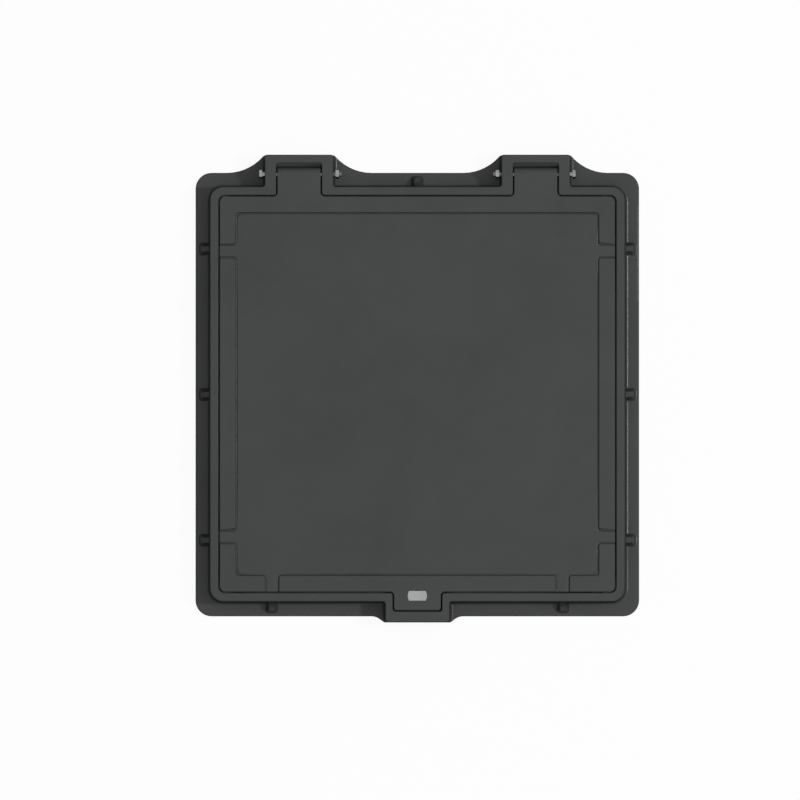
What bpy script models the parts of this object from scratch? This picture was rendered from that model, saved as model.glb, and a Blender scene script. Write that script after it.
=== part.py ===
"""Hinged, lockable manhole cover of moulded composite in its frame, one object for each piece.

Lengths are metres, +Z is up and +Y points to the hinge side. The part stands on z = 0, and the
world origin lies under the middle of its overall outline. Pieces are drawn about the middle of
the access opening and then hung on empties: one in that middle, one on the hinge axis and one
on the lock axis.
"""

import math

import bmesh
import bpy
from mathutils import Matrix, Vector

# Frame: flange, wall, rim and the shelf that the cover sits over
CLEAR_OPENING = 0.600
OPENING_CORNER = 0.020
SEAT_WIDTH = 0.037
SEAT_DEPTH = 0.030
SHELF_THICKNESS = 0.012
FRAME_HEIGHT = 0.075
RIM_WIDTH = 0.014
RIM_CORNER = 0.022
CAVITY_CORNER = 0.011
INNER_CORNER = 0.005
FLANGE_REACH = 0.0252
FLANGE_THICKNESS = 0.012
FLANGE_CORNER = 0.027
FLANGE_EDGE_ROUND = 0.0025
FLANGE_LEDGE = 0.0008
FOOT_FILLET = 0.005
EDGE_ROUND = 0.0015
WALL_DRAFT = math.radians(2.2)
CAVITY_DRAFT = math.radians(4.0)
UNDER_DRAFT = math.radians(2.5)
UNDER_SHELF_WALL = 0.017

# Gussets on the outside of the wall and webs under the shelf
GUSSET_PITCH = 0.247
GUSSET_TOP_WIDTH = 0.0088
GUSSET_FOOT_WIDTH = 0.020
GUSSET_CORNER = 0.004
GUSSET_FILLET = 0.003
GUSSET_TOP_DROP = 0.030
GUSSET_NOSE_HEIGHT = 0.011
GUSSET_NOSE_LEAN = 0.002
GUSSET_EDGE_MARGIN = 0.0065
WEB_THICKNESS = 0.008
WEB_LIP = 0.004

# Cover plate, its raised border with drain channels, and the rib grid under it
COVER_GAP = 0.0022
COVER_DRAFT = math.radians(5.0)
PLATE_THICKNESS = 0.012
COVER_DEPTH = 0.060
BORDER_WIDTH = 0.0275
PANEL_DROP = 0.0025
PANEL_CORNER = 0.004
GROOVE_WIDTH = 0.0028
GROOVE_DEPTH = 0.002
CHANNEL_WIDTH = 0.0232
SIDE_CHANNEL_AT = 0.242
FRONT_CHANNEL_AT = 0.246
RIB_CELLS = 7
RIB_WIDTH = 0.007
RIB_DRAFT = math.radians(1.5)
RIB_CORNER = 0.008
RIB_GRID_MARGIN = 0.008

# Rubber seal in a groove of the shelf
SEAL_WIDTH = 0.008
SEAL_SETBACK = 0.011
SEAL_GROOVE_DEPTH = 0.004
SEAL_STAND = 0.002

# Hinges
HINGE_SPACING = 0.401
HINGE_OFFSET = 0.035
KNUCKLE_LENGTH = 0.0732
KNUCKLE_RADIUS = 0.012
KNUCKLE_BACK_GAP = 0.0077
POCKET_SIDE_WALL = 0.0188
POCKET_BACK_WALL = 0.0135
POCKET_LIP_GAP = 0.0014
POCKET_LIP_DROP = 0.009
POCKET_BACK_LEAN = math.radians(1.0)
POCKET_CORNER = 0.004
POCKET_FLOOR_THICKNESS = 0.010
HINGE_FLARE_ANGLE = math.radians(48.0)
BOLT_DIAMETER = 0.008
BOLT_LENGTH = 0.134
BOLT_HEAD_HEIGHT = 0.0053
BOLT_HEAD_STANDOFF = 0.0045
BOLT_END_CHAMFER = 0.0008
HEX_ACROSS_FLATS = 0.013
HEX_CHAMFER = 0.0004
NUT_HEIGHT = 0.0065
NUT_STANDOFF = 0.0038
BUSH_WALL = 0.002

# Keyhole and quarter-turn lock in the front tab
LOCK_TAB_WIDTH = 0.0794
LOCK_TAB_REACH = 0.0314
LOCK_SIDE_WALL = 0.0121
LOCK_FRONT_WALL = 0.0175
LOCK_FLARE_ANGLE = math.radians(36.0)
LOCK_FLARE_BEND = 0.022
KEYHOLE_SETBACK = 0.0068
KEYHOLE_RADIUS = 0.0163
KEYHOLE_WIDTH = 0.0164
KEYHOLE_STEP = 0.0026
PLUG_HEAD = 0.004
PLUG_LENGTH = 0.011
PRY_NOTCH_RADIUS = 0.0022
LOCK_GASKET_THICKNESS = 0.002
LOCK_FLANGE_THICKNESS = 0.004
LOCK_FLANGE_RIM = 0.0005
LOCK_EAR_RADIUS = 0.0075
LOCK_SCREW_AT = 0.0245
LOCK_CUP_RADIUS = 0.0155
LOCK_CUP_WALL = 0.0016
LOCK_CUP_FLOOR = 0.003
LOCK_CUP_DEPTH = 0.0194
SPINDLE_HEAD_HEIGHT = 0.0105
SPINDLE_SOCKET_DEPTH = 0.008
SPINDLE_SHAFT_DIAMETER = 0.013
SPINDLE_SQUARE = 0.0088
SPINDLE_STUD_LENGTH = 0.0105
DISC_SPRING_THICKNESS = 0.0006
DISC_SPRING_CONE = 0.0004
CAM_LENGTH = 0.029
CAM_WIDTH = 0.018
CAM_HEEL_RADIUS = 0.005
CAM_THICKNESS = 0.005
CAM_SHELF_GAP = 0.0013
CAM_PASSAGE_GAP = 0.003
CAM_WASHER_DIAMETER = 0.016
CAM_WASHER_THICKNESS = 0.0016
LOCK_SCREW_DIAMETER = 0.005
LOCK_SCREW_HEAD_DIAMETER = 0.0085
LOCK_SCREW_HEAD_HEIGHT = 0.005
LOCK_SCREW_LENGTH = 0.0124
INSERT_WALL = 0.0015
INSERT_LENGTH = 0.0067

# Fits between pieces, and how finely arcs are cut into facets
CLEARANCE = 0.0003
BOLT_HOLE_CLEARANCE = 0.0004
OVERLAP = 0.002
PAST = 0.010
ARC_TOLERANCE = 0.00015
RIB_TOLERANCE = 0.0008
ROUND_SIDES = 24
SMALL_SIDES = 16
EDGE_STEPS = 2
SMALLEST_RADIUS = 0.0003
SPECK = 0.000002

# Colours, as linear red, green and blue
COMPOSITE_GREY = (0.063, 0.066, 0.065)
STEEL_GREY = (0.36, 0.365, 0.37)
PLUG_GREY = (0.36, 0.366, 0.375)
RUBBER_BLACK = (0.012, 0.012, 0.013)
BRASS_YELLOW = (0.55, 0.40, 0.16)

# Places that follow from the sizes above, about the middle of the access opening
TOP = FRAME_HEIGHT
OPENING_HALF = CLEAR_OPENING / 2
CAVITY_HALF = OPENING_HALF + SEAT_WIDTH
RIM_HALF = CAVITY_HALF + RIM_WIDTH
FLANGE_HALF = RIM_HALF + FLANGE_REACH
COVER_HALF = CAVITY_HALF - COVER_GAP
PANEL_HALF = COVER_HALF - BORDER_WIDTH
SEAT_Z = TOP - SEAT_DEPTH
SHELF_UNDER_Z = SEAT_Z - SHELF_THICKNESS
COVER_EDGE_Z = SEAT_Z + SEAL_STAND
PLATE_UNDER_Z = TOP - PLATE_THICKNESS
COVER_BOTTOM_Z = TOP - COVER_DEPTH

HINGE_X = HINGE_SPACING / 2
HINGE_Y = CAVITY_HALF + HINGE_OFFSET
HINGE_Z = TOP - KNUCKLE_RADIUS
KNUCKLE_HALF = KNUCKLE_LENGTH / 2
POCKET_HALF = KNUCKLE_HALF + COVER_GAP
POCKET_BACK = HINGE_Y + KNUCKLE_RADIUS + KNUCKLE_BACK_GAP
HINGE_WALL_HALF = POCKET_HALF + POCKET_SIDE_WALL
HINGE_WALL_BACK = POCKET_BACK + POCKET_BACK_WALL
BUSH_RADIUS = BOLT_DIAMETER / 2 + CLEARANCE + BUSH_WALL

LOCK_TAB_HALF = LOCK_TAB_WIDTH / 2
LOCK_TAB_FRONT = COVER_HALF + LOCK_TAB_REACH
LOCK_POCKET_HALF = LOCK_TAB_HALF + COVER_GAP
LOCK_POCKET_FRONT = LOCK_TAB_FRONT + COVER_GAP
LOCK_WALL_HALF = LOCK_POCKET_HALF + LOCK_SIDE_WALL
LOCK_WALL_FRONT = LOCK_POCKET_FRONT + LOCK_FRONT_WALL
LOCK_Y = -(COVER_HALF + KEYHOLE_SETBACK)

# Heights in the lock, from the cover plate down
GASKET_TOP_Z = PLATE_UNDER_Z - CLEARANCE
LOCK_FLANGE_TOP_Z = GASKET_TOP_Z - LOCK_GASKET_THICKNESS - CLEARANCE
LOCK_FLANGE_UNDER_Z = LOCK_FLANGE_TOP_Z - LOCK_FLANGE_THICKNESS
CUP_FLOOR_Z = LOCK_FLANGE_TOP_Z - LOCK_CUP_DEPTH
CUP_UNDER_Z = CUP_FLOOR_Z - LOCK_CUP_FLOOR
SPRING_TOP_Z = CUP_FLOOR_Z + CLEARANCE + DISC_SPRING_THICKNESS + DISC_SPRING_CONE
SPINDLE_HEAD_Z = SPRING_TOP_Z + CLEARANCE
SPINDLE_TOP_Z = SPINDLE_HEAD_Z + SPINDLE_HEAD_HEIGHT
CAM_TOP_Z = SHELF_UNDER_Z - CAM_SHELF_GAP
CAM_UNDER_Z = CAM_TOP_Z - CAM_THICKNESS
CAM_WASHER_Z = CAM_UNDER_Z - CLEARANCE - CAM_WASHER_THICKNESS
CAM_NUT_Z = CAM_WASHER_Z - CLEARANCE - NUT_HEIGHT
STUD_END_Z = CAM_UNDER_Z - SPINDLE_STUD_LENGTH

# The overall outline runs from the lock pocket's front to the hinge pockets' back
OPENING_Y = (LOCK_WALL_FRONT - HINGE_WALL_BACK) / 2


# Outlines: each is a function that gives the closed outline grown outwards by a distance

def arc_steps(radius, turn, tolerance=ARC_TOLERANCE):
    """How many facets keep an arc within the tolerance, and never fewer than two."""
    widest = 2 * math.acos(1 - tolerance / max(radius, 2 * tolerance))
    return max(2, math.ceil(abs(turn) / widest))


def rounded(corners, tolerance=ARC_TOLERANCE):
    """Outline of a polygon, counter-clockwise, with (x, y, radius) at each corner."""

    def outline(grow):
        points = []
        for index, (x, y, radius) in enumerate(corners):
            here = Vector((x, y))
            into = (here - Vector(corners[index - 1][:2])).normalized()
            out = (Vector(corners[(index + 1) % len(corners)][:2]) - here).normalized()
            turn = math.atan2(into.cross(out), into.dot(out))
            normal_in = Vector((into.y, -into.x))
            normal_out = Vector((out.y, -out.x))
            corner = here + (normal_in + normal_out) * (grow / (1 + normal_in.dot(normal_out)))
            bend = max(radius + math.copysign(grow, turn), SMALLEST_RADIUS)
            start = corner - into * bend * math.tan(abs(turn) / 2)
            centre = start - normal_in * math.copysign(bend, turn)
            steps = arc_steps(radius, turn, tolerance)
            for step in range(steps + 1):
                spoke = (start - centre).to_3d()
                spoke.rotate(Matrix.Rotation(turn * step / steps, 3, "Z"))
                points.append(centre + spoke.to_2d())
        return points

    return outline


def rectangle(x_low, x_high, y_low, y_high, radius, tolerance=ARC_TOLERANCE):
    corners = [(x_low, y_low), (x_high, y_low), (x_high, y_high), (x_low, y_high)]
    return rounded([(x, y, radius) for x, y in corners], tolerance)


def square(half, radius):
    return rectangle(-half, half, -half, half, radius)


def circle(x=0.0, y=0.0, sides=ROUND_SIDES):
    """A circle whose radius is the distance that it is grown by."""

    def outline(grow):
        turns = [2 * math.pi * side / sides for side in range(sides)]
        return [Vector((x + grow * math.cos(turn), y + grow * math.sin(turn))) for turn in turns]

    return outline


def hexagon(across_flats):
    """A hexagon with two of its corners on the Y axis."""

    def outline(grow):
        corner = (across_flats / 2 + grow) / math.cos(math.pi / 6)
        turns = [math.pi * (side / 3 + 0.5) for side in range(6)]
        return [Vector((corner * math.cos(turn), corner * math.sin(turn))) for turn in turns]

    return outline


def double_d(radius, width, y):
    """A circle cut by two flats that run along X."""
    steps = arc_steps(radius, 2 * math.asin(width / 2 / radius), ARC_TOLERANCE / 3)

    def outline(grow):
        reach = radius + grow
        end = math.asin((width / 2 + grow) / reach)
        points = []
        for side in (0.0, math.pi):
            for step in range(steps + 1):
                turn = side - end + 2 * end * step / steps
                points.append(Vector((reach * math.cos(turn), y + reach * math.sin(turn))))
        return points

    return outline


def two_eared(radius, ear_radius, ear_at, y):
    """A round flange with an ear to each side, the arcs joined by their common tangents."""

    def outline(grow):
        lean = math.acos((radius - ear_radius) / ear_at)
        arcs = [
            (ear_at, ear_radius, -lean, lean),
            (0.0, radius, lean, math.pi - lean),
            (-ear_at, ear_radius, math.pi - lean, math.pi + lean),
            (0.0, radius, math.pi + lean, 2 * math.pi - lean),
        ]
        points = []
        for x, bend, first, last in arcs:
            steps = arc_steps(bend, last - first)
            for step in range(steps + 1):
                turn = first + (last - first) * step / steps
                reach = bend + grow
                points.append(Vector((x + reach * math.cos(turn), y + reach * math.sin(turn))))
        return points

    return outline


def frame_plan(half, hinge_half, back, lock_half, front, corner, pocket_corner, inner_corner):
    """Square plan with two hinge pockets behind and the lock pocket in front."""
    corners = [
        (-half, -half, corner),
        (-lock_half, -half, inner_corner),
        (-lock_half, -front, pocket_corner),
        (lock_half, -front, pocket_corner),
        (lock_half, -half, inner_corner),
        (half, -half, corner),
        (half, half, corner),
    ]
    for hinge_x in (HINGE_X, -HINGE_X):
        corners += [
            (hinge_x + hinge_half, half, inner_corner),
            (hinge_x + hinge_half, back, pocket_corner),
            (hinge_x - hinge_half, back, pocket_corner),
            (hinge_x - hinge_half, half, inner_corner),
        ]
    corners.append((-half, half, corner))
    return rounded(corners)


def widest_bend(rise, angle):
    """Bend radius of a flare that leaves only a short straight run next to its pocket's corner."""
    slope = rise / math.sin(angle)
    straight = 2 * POCKET_CORNER * math.tan(angle / 2)
    return (slope - straight) / math.tan(angle / 2)


def flange_plan():
    """The flange's square, swept out in curves to the foot of each pocket."""
    front = LOCK_WALL_FRONT + FLANGE_LEDGE
    back = HINGE_WALL_BACK + FLANGE_LEDGE
    lock_rise = front - FLANGE_HALF
    lock_run = lock_rise / math.tan(LOCK_FLARE_ANGLE)
    lock_bend = min(LOCK_FLARE_BEND, widest_bend(lock_rise, LOCK_FLARE_ANGLE))
    hinge_rise = back - FLANGE_HALF
    hinge_run = hinge_rise / math.tan(HINGE_FLARE_ANGLE)
    hinge_bend = widest_bend(hinge_rise, HINGE_FLARE_ANGLE)
    lock_half = LOCK_WALL_HALF + OVERLAP
    hinge_half = HINGE_WALL_HALF + OVERLAP
    corners = [
        (-FLANGE_HALF, -FLANGE_HALF, FLANGE_CORNER),
        (-lock_half - lock_run, -FLANGE_HALF, lock_bend),
        (-lock_half, -front, POCKET_CORNER),
        (lock_half, -front, POCKET_CORNER),
        (lock_half + lock_run, -FLANGE_HALF, lock_bend),
        (FLANGE_HALF, -FLANGE_HALF, FLANGE_CORNER),
        (FLANGE_HALF, FLANGE_HALF, FLANGE_CORNER),
    ]
    for hinge_x in (HINGE_X, -HINGE_X):
        corners += [
            (hinge_x + hinge_half + hinge_run, FLANGE_HALF, hinge_bend),
            (hinge_x + hinge_half, back, POCKET_CORNER),
            (hinge_x - hinge_half, back, POCKET_CORNER),
            (hinge_x - hinge_half - hinge_run, FLANGE_HALF, hinge_bend),
        ]
    corners.append((-FLANGE_HALF, FLANGE_HALF, FLANGE_CORNER))
    return rounded(corners)


def panel_plan():
    """The sunk panel with its drain channels run out past the cover's edge."""
    end = COVER_HALF + PAST
    half_channel = CHANNEL_WIDTH / 2

    def channel(at, along, across):
        """Corners of one channel arm: out from the panel, past the edge, and back in."""
        near, far = along * PANEL_HALF, along * end
        first, last = across * (at - half_channel), across * (at + half_channel)
        arm = []
        for point, radius in (
            (near + first, PANEL_CORNER),
            (far + first, SMALLEST_RADIUS),
            (far + last, SMALLEST_RADIUS),
            (near + last, PANEL_CORNER),
        ):
            arm.append((point.x, point.y, radius))
        return arm

    front, right, back, left = (Vector(way) for way in ((0, -1), (1, 0), (0, 1), (-1, 0)))
    corners = [(-PANEL_HALF, -PANEL_HALF, PANEL_CORNER)]
    corners += channel(-FRONT_CHANNEL_AT, front, right) + channel(FRONT_CHANNEL_AT, front, right)
    corners.append((PANEL_HALF, -PANEL_HALF, PANEL_CORNER))
    corners += channel(-SIDE_CHANNEL_AT, right, back) + channel(SIDE_CHANNEL_AT, right, back)
    corners.append((PANEL_HALF, PANEL_HALF, PANEL_CORNER))
    corners.append((-PANEL_HALF, PANEL_HALF, PANEL_CORNER))
    corners += channel(-SIDE_CHANNEL_AT, left, front) + channel(SIDE_CHANNEL_AT, left, front)
    return rounded(corners)


# Solids: every maker below returns a mesh object drawn about the middle of the access opening

def new_object(name, mesh):
    bmesh.ops.recalc_face_normals(mesh, faces=mesh.faces)
    data = bpy.data.meshes.new(name)
    mesh.to_mesh(data)
    mesh.free()
    made = bpy.data.objects.new(name, data)
    bpy.context.scene.collection.objects.link(made)
    return made


def skin(mesh, loops, ring=False):
    """Faces from each loop of corners to the next, with caps or closed into a ring."""
    pairs = list(zip(loops, loops[1:]))
    if ring:
        pairs.append((loops[-1], loops[0]))
    else:
        mesh.faces.new(reversed(loops[0]))
        mesh.faces.new(loops[-1])
    for low, high in pairs:
        for index in range(len(low)):
            after = (index + 1) % len(low)
            mesh.faces.new((low[index], low[after], high[after], high[index]))


def swept(name, outline, profile, ring=False):
    """Solid through the outline at each (grow, z) of the profile: capped, or closed into a ring."""
    mesh = bmesh.new()
    loops = []
    for grow, z in profile:
        loops.append([mesh.verts.new((point.x, point.y, z)) for point in outline(grow)])
    skin(mesh, loops, ring)
    return new_object(name, mesh)


def bar(name, section, x_low, x_high):
    """Straight bar along X with the closed (y, z) section."""
    mesh = bmesh.new()
    face = mesh.faces.new([mesh.verts.new((x_low, y, z)) for y, z in section])
    moved = bmesh.ops.extrude_face_region(mesh, geom=[face])["geom"]
    corners = [item for item in moved if isinstance(item, bmesh.types.BMVert)]
    bmesh.ops.translate(mesh, verts=corners, vec=(x_high - x_low, 0, 0))
    return new_object(name, mesh)


def moved(made, matrix):
    made.data.transform(matrix)
    return made


def boolean(target, tool, operation):
    """Applies the tool to the target, welds the specks that the cut leaves and removes the tool."""
    modifier = target.modifiers.new(operation.title(), "BOOLEAN")
    modifier.operation = operation
    modifier.object = tool
    modifier.solver = "EXACT"
    with bpy.context.temp_override(object=target, active_object=target):
        bpy.ops.object.modifier_apply(modifier=modifier.name)
    bpy.data.objects.remove(tool)
    mesh = bmesh.new()
    mesh.from_mesh(target.data)
    bmesh.ops.remove_doubles(mesh, verts=mesh.verts, dist=SPECK)
    bmesh.ops.dissolve_degenerate(mesh, edges=mesh.edges, dist=SPECK)
    mesh.to_mesh(target.data)
    mesh.free()
    return target


def cut(target, *tools):
    for tool in tools:
        boolean(target, tool, "DIFFERENCE")
    return target


def join(target, *tools):
    for tool in tools:
        boolean(target, tool, "UNION")
    return target


def gathered(name, pieces):
    """One object holding several solids that stand apart, as a single tool for a Boolean."""
    mesh = bmesh.new()
    for piece in pieces:
        mesh.from_mesh(piece.data)
        bpy.data.objects.remove(piece)
    return new_object(name, mesh)


def convex_edge(radius, z_top, grow=0.0):
    """Profile points of an outer edge rounded into the top face at z_top."""
    turns = [math.pi / 2 * step / EDGE_STEPS for step in range(EDGE_STEPS + 1)]
    return [(grow - radius * (1 - math.cos(turn)), z_top - radius * (1 - math.sin(turn))) for turn in turns]


def flared_mouth(radius, z_top):
    """Profile points of a cutter whose mouth rounds the edge of the hole at z_top."""
    turns = [math.pi / 2 * step / EDGE_STEPS for step in range(EDGE_STEPS + 1)]
    points = [(radius * (1 - math.cos(turn)), z_top - radius * (1 - math.sin(turn))) for turn in turns]
    return points + [(radius, z_top + PAST)]


# Frame

def frame_wall():
    """The drafted wall with its rounded rim and the fillet at its foot."""
    plan = frame_plan(
        RIM_HALF, HINGE_WALL_HALF, HINGE_WALL_BACK, LOCK_WALL_HALF, LOCK_WALL_FRONT,
        RIM_CORNER, POCKET_CORNER, INNER_CORNER,
    )
    foot = (TOP - FLANGE_THICKNESS) * math.tan(WALL_DRAFT)
    profile = [(foot + FOOT_FILLET, FLANGE_THICKNESS - 2 * FLANGE_EDGE_ROUND)]
    for step in range(EDGE_STEPS + 2):
        turn = math.pi / 2 * step / (EDGE_STEPS + 1)
        reach = foot + FOOT_FILLET * (1 - math.sin(turn))
        profile.append((reach, FLANGE_THICKNESS + FOOT_FILLET * (1 - math.cos(turn))))
    profile += convex_edge(EDGE_ROUND, TOP)
    wall = swept("frame_wall", plan, profile)
    edge = -FLANGE_LEDGE / 2
    trim = swept("flange_trim", flange_plan(), [(edge, -PAST), (edge, TOP + PAST)])
    return boolean(wall, trim, "INTERSECT")


def frame_flange():
    chamfer = EDGE_ROUND / 2
    profile = [(-chamfer, 0.0), (0.0, chamfer)]
    profile += convex_edge(FLANGE_EDGE_ROUND, FLANGE_THICKNESS)
    return swept("frame", flange_plan(), profile)


def gusset():
    """One gusset against the wall on the +X side, at y = 0, with a fillet round its foot."""
    start = RIM_HALF - RIM_WIDTH / 2
    nose = FLANGE_HALF - GUSSET_EDGE_MARGIN
    top = TOP - GUSSET_TOP_DROP
    fall = top - FLANGE_THICKNESS - GUSSET_NOSE_HEIGHT

    def crest_height(x):
        return top - fall * max(0.0, x - RIM_HALF) / (nose - RIM_HALF)

    def loop(half, end, bend):
        """Plan of the gusset by its half width: open at the wall, its two corners at the nose rounded."""
        points = [Vector((start, -half))]
        for side, first in ((-1, -math.pi / 2), (1, 0.0)):
            for step in range(EDGE_STEPS + 1):
                turn = first + math.pi / 2 * step / EDGE_STEPS
                x = end - bend + bend * math.cos(turn)
                points.append(Vector((x, side * (half - bend) + bend * math.sin(turn))))
        points.append(Vector((start, half)))
        return points

    def grown(grow, z):
        plan = loop(GUSSET_FOOT_WIDTH / 2 + grow, nose + grow, GUSSET_CORNER + grow)
        return [mesh.verts.new((point.x, point.y, z)) for point in plan]

    mesh = bmesh.new()
    loops = [grown(GUSSET_FILLET, FLANGE_THICKNESS - OVERLAP)]
    for step in range(EDGE_STEPS + 1):
        turn = math.pi / 2 * step / EDGE_STEPS
        rise = GUSSET_FILLET * (1 - math.cos(turn))
        loops.append(grown(GUSSET_FILLET * (1 - math.sin(turn)), FLANGE_THICKNESS + rise))
    crest = loop(GUSSET_TOP_WIDTH / 2, nose - GUSSET_NOSE_LEAN, GUSSET_CORNER)
    loops.append([mesh.verts.new((point.x, point.y, crest_height(point.x))) for point in crest])
    skin(mesh, loops)
    return new_object("gusset", mesh)


def on_side(made, turn, along):
    """Moves a piece drawn on the +X side along that side and then round to another side."""
    return moved(made, Matrix.Rotation(turn, 4, "Z") @ Matrix.Translation((0, along, 0)))


def frame_gussets():
    right, back, left, front = (quarter * math.pi / 2 for quarter in range(4))
    places = [(side, row * GUSSET_PITCH) for side in (right, left) for row in (-1, 0, 1)]
    places += [(back, 0.0), (front, -GUSSET_PITCH), (front, GUSSET_PITCH)]
    return gathered("gussets", [on_side(gusset(), side, along) for side, along in places])


def shelf_web():
    """One web under the shelf on the +X side, from the wall in to the opening."""
    wall = RIM_HALF - UNDER_SHELF_WALL + OVERLAP
    tip = OPENING_HALF + EDGE_ROUND
    top = SHELF_UNDER_Z + OVERLAP
    section = [(tip, top), (tip, SHELF_UNDER_Z - WEB_LIP), (wall, FLANGE_THICKNESS), (wall, top)]
    web = bar("web", section, -WEB_THICKNESS / 2, WEB_THICKNESS / 2)
    return moved(web, Matrix.Rotation(-math.pi / 2, 4, "Z"))


def shelf_webs():
    webs = []
    for quarter in range(4):
        for row in (-1.0, -0.5, 0.0, 0.5, 1.0):
            if quarter == 3 and row == 0.0:
                continue
            webs.append(on_side(shelf_web(), quarter * math.pi / 2, row * GUSSET_PITCH))
    return gathered("webs", webs)


def cavity_cutter():
    """The space above the shelf that the cover fills, with the rounded inner edge of the rim."""
    plan = frame_plan(
        CAVITY_HALF, POCKET_HALF, POCKET_BACK, LOCK_POCKET_HALF, LOCK_POCKET_FRONT,
        CAVITY_CORNER, POCKET_CORNER, INNER_CORNER,
    )
    profile = [(-SEAT_DEPTH * math.tan(CAVITY_DRAFT), SEAT_Z)] + flared_mouth(EDGE_ROUND, TOP)
    return swept("cavity", plan, profile)


def pocket_ramp(hinge_x):
    """Back of a hinge pocket: a broad slope from the rim down to a lip, and the wall below the lip."""
    high = TOP - CLEARANCE
    low = SEAT_Z - OVERLAP
    lip_z = TOP - POCKET_LIP_DROP
    lip = HINGE_Y + KNUCKLE_RADIUS + POCKET_LIP_GAP
    foot = lip - (lip_z - low) * math.tan(POCKET_BACK_LEAN)
    back = POCKET_BACK + EDGE_ROUND
    section = [(back, high), (lip, lip_z), (foot, low), (back + OVERLAP, low), (back + OVERLAP, high)]
    reach = POCKET_HALF + OVERLAP
    return bar("pocket_ramp", section, hinge_x - reach, hinge_x + reach)


def under_hinge_cutter(hinge_x):
    """Hollow under the floor of a hinge pocket, open below and to the shelf's hollow."""
    wall = POCKET_SIDE_WALL / 2
    under = SEAT_Z - POCKET_FLOOR_THICKNESS
    plan = rectangle(
        hinge_x - HINGE_WALL_HALF + wall, hinge_x + HINGE_WALL_HALF - wall,
        RIM_HALF - UNDER_SHELF_WALL - OVERLAP, HINGE_WALL_BACK - POCKET_BACK_WALL, POCKET_CORNER,
    )
    return swept("under_hinge", plan, [(0.0, -PAST), (-under * math.tan(UNDER_DRAFT), under)])


def under_shelf_cutter():
    """Hollow under the shelf, and under the floor of the lock pocket."""
    half = RIM_HALF - UNDER_SHELF_WALL
    lock_half = LOCK_WALL_HALF - LOCK_SIDE_WALL
    front = LOCK_WALL_FRONT - LOCK_FRONT_WALL
    plan = rounded(
        [
            (-half, -half, CAVITY_CORNER),
            (-lock_half, -half, INNER_CORNER),
            (-lock_half, -front, POCKET_CORNER),
            (lock_half, -front, POCKET_CORNER),
            (lock_half, -half, INNER_CORNER),
            (half, -half, CAVITY_CORNER),
            (half, half, CAVITY_CORNER),
            (-half, half, CAVITY_CORNER),
        ]
    )
    inset = SHELF_UNDER_Z * math.tan(UNDER_DRAFT)
    return swept("under_shelf", plan, [(0.0, -PAST), (-inset, SHELF_UNDER_Z)])


def lock_passage_cutter():
    """Hole in the lock pocket's floor, as wide as the cup and as long as the unlocked cam."""
    cup = LOCK_CUP_RADIUS + LOCK_CUP_WALL + CAM_PASSAGE_GAP
    plan = rectangle(-cup, CAM_LENGTH + CAM_PASSAGE_GAP, LOCK_Y - cup, LOCK_Y + cup, CAVITY_CORNER)
    return swept("lock_passage", plan, [(0.0, SHELF_UNDER_Z - PAST), (0.0, SEAT_Z + PAST)])


def seal_groove_cutter():
    plan = square(OPENING_HALF + SEAL_SETBACK, OPENING_CORNER)
    half = SEAL_WIDTH / 2
    low = SEAT_Z - SEAL_GROOVE_DEPTH
    high = SEAT_Z + PAST
    return swept("seal_groove", plan, [(half, low), (half, high), (-half, high), (-half, low)], ring=True)


def rod_along_x(name, radius, x_low, x_high, y, z, sides=ROUND_SIDES):
    """Round rod along X."""
    rod = swept(name, circle(sides=sides), [(radius, x_low), (radius, x_high)])
    return moved(rod, Matrix.Translation((0, y, z)) @ Matrix.Rotation(math.pi / 2, 4, "Y"))


def make_frame():
    frame = join(frame_flange(), frame_wall(), frame_gussets())
    cut(frame, cavity_cutter(), under_shelf_cutter())
    for hinge_x in (-HINGE_X, HINGE_X):
        join(frame, pocket_ramp(hinge_x))
        cut(frame, under_hinge_cutter(hinge_x))
    join(frame, shelf_webs())
    opening = swept(
        "opening", square(OPENING_HALF, OPENING_CORNER), [(0.0, -PAST), (0.0, TOP + PAST)]
    )
    cut(frame, opening, lock_passage_cutter(), seal_groove_cutter())
    hole = BOLT_DIAMETER / 2 + BOLT_HOLE_CLEARANCE
    for hinge_x in (-HINGE_X, HINGE_X):
        reach = HINGE_WALL_HALF + PAST
        cut(frame, rod_along_x("bolt_hole", hole, hinge_x - reach, hinge_x + reach, HINGE_Y, HINGE_Z))
    return frame


def make_seal():
    """Half-round rubber cord on a flat foot, in one loop round the opening."""
    plan = square(OPENING_HALF + SEAL_SETBACK, OPENING_CORNER)
    half = SEAL_WIDTH / 2 - CLEARANCE
    foot = SEAT_Z - SEAL_GROOVE_DEPTH + CLEARANCE
    crown = COVER_EDGE_Z - CLEARANCE
    profile = [(-half, foot), (half, foot)]
    for step in range(2 * EDGE_STEPS + 1):
        turn = math.pi * step / (2 * EDGE_STEPS)
        profile.append((half * math.cos(turn), crown - half * (1 - math.sin(turn))))
    return swept("cover_seal", plan, profile, ring=True)


# Cover

def cover_plate():
    """The plate with its tabs; the hinge tabs are left long, for the knuckles to be cut from."""
    tab_end = HINGE_Y + KNUCKLE_RADIUS + POCKET_CORNER + OVERLAP
    plan = frame_plan(
        COVER_HALF, KNUCKLE_HALF, tab_end, LOCK_TAB_HALF, LOCK_TAB_FRONT,
        CAVITY_CORNER - COVER_GAP, POCKET_CORNER, INNER_CORNER + COVER_GAP,
    )
    draft = -(TOP - COVER_EDGE_Z) * math.tan(COVER_DRAFT)
    return swept("cover", plan, [(draft, COVER_EDGE_Z)] + convex_edge(EDGE_ROUND, TOP))


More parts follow.
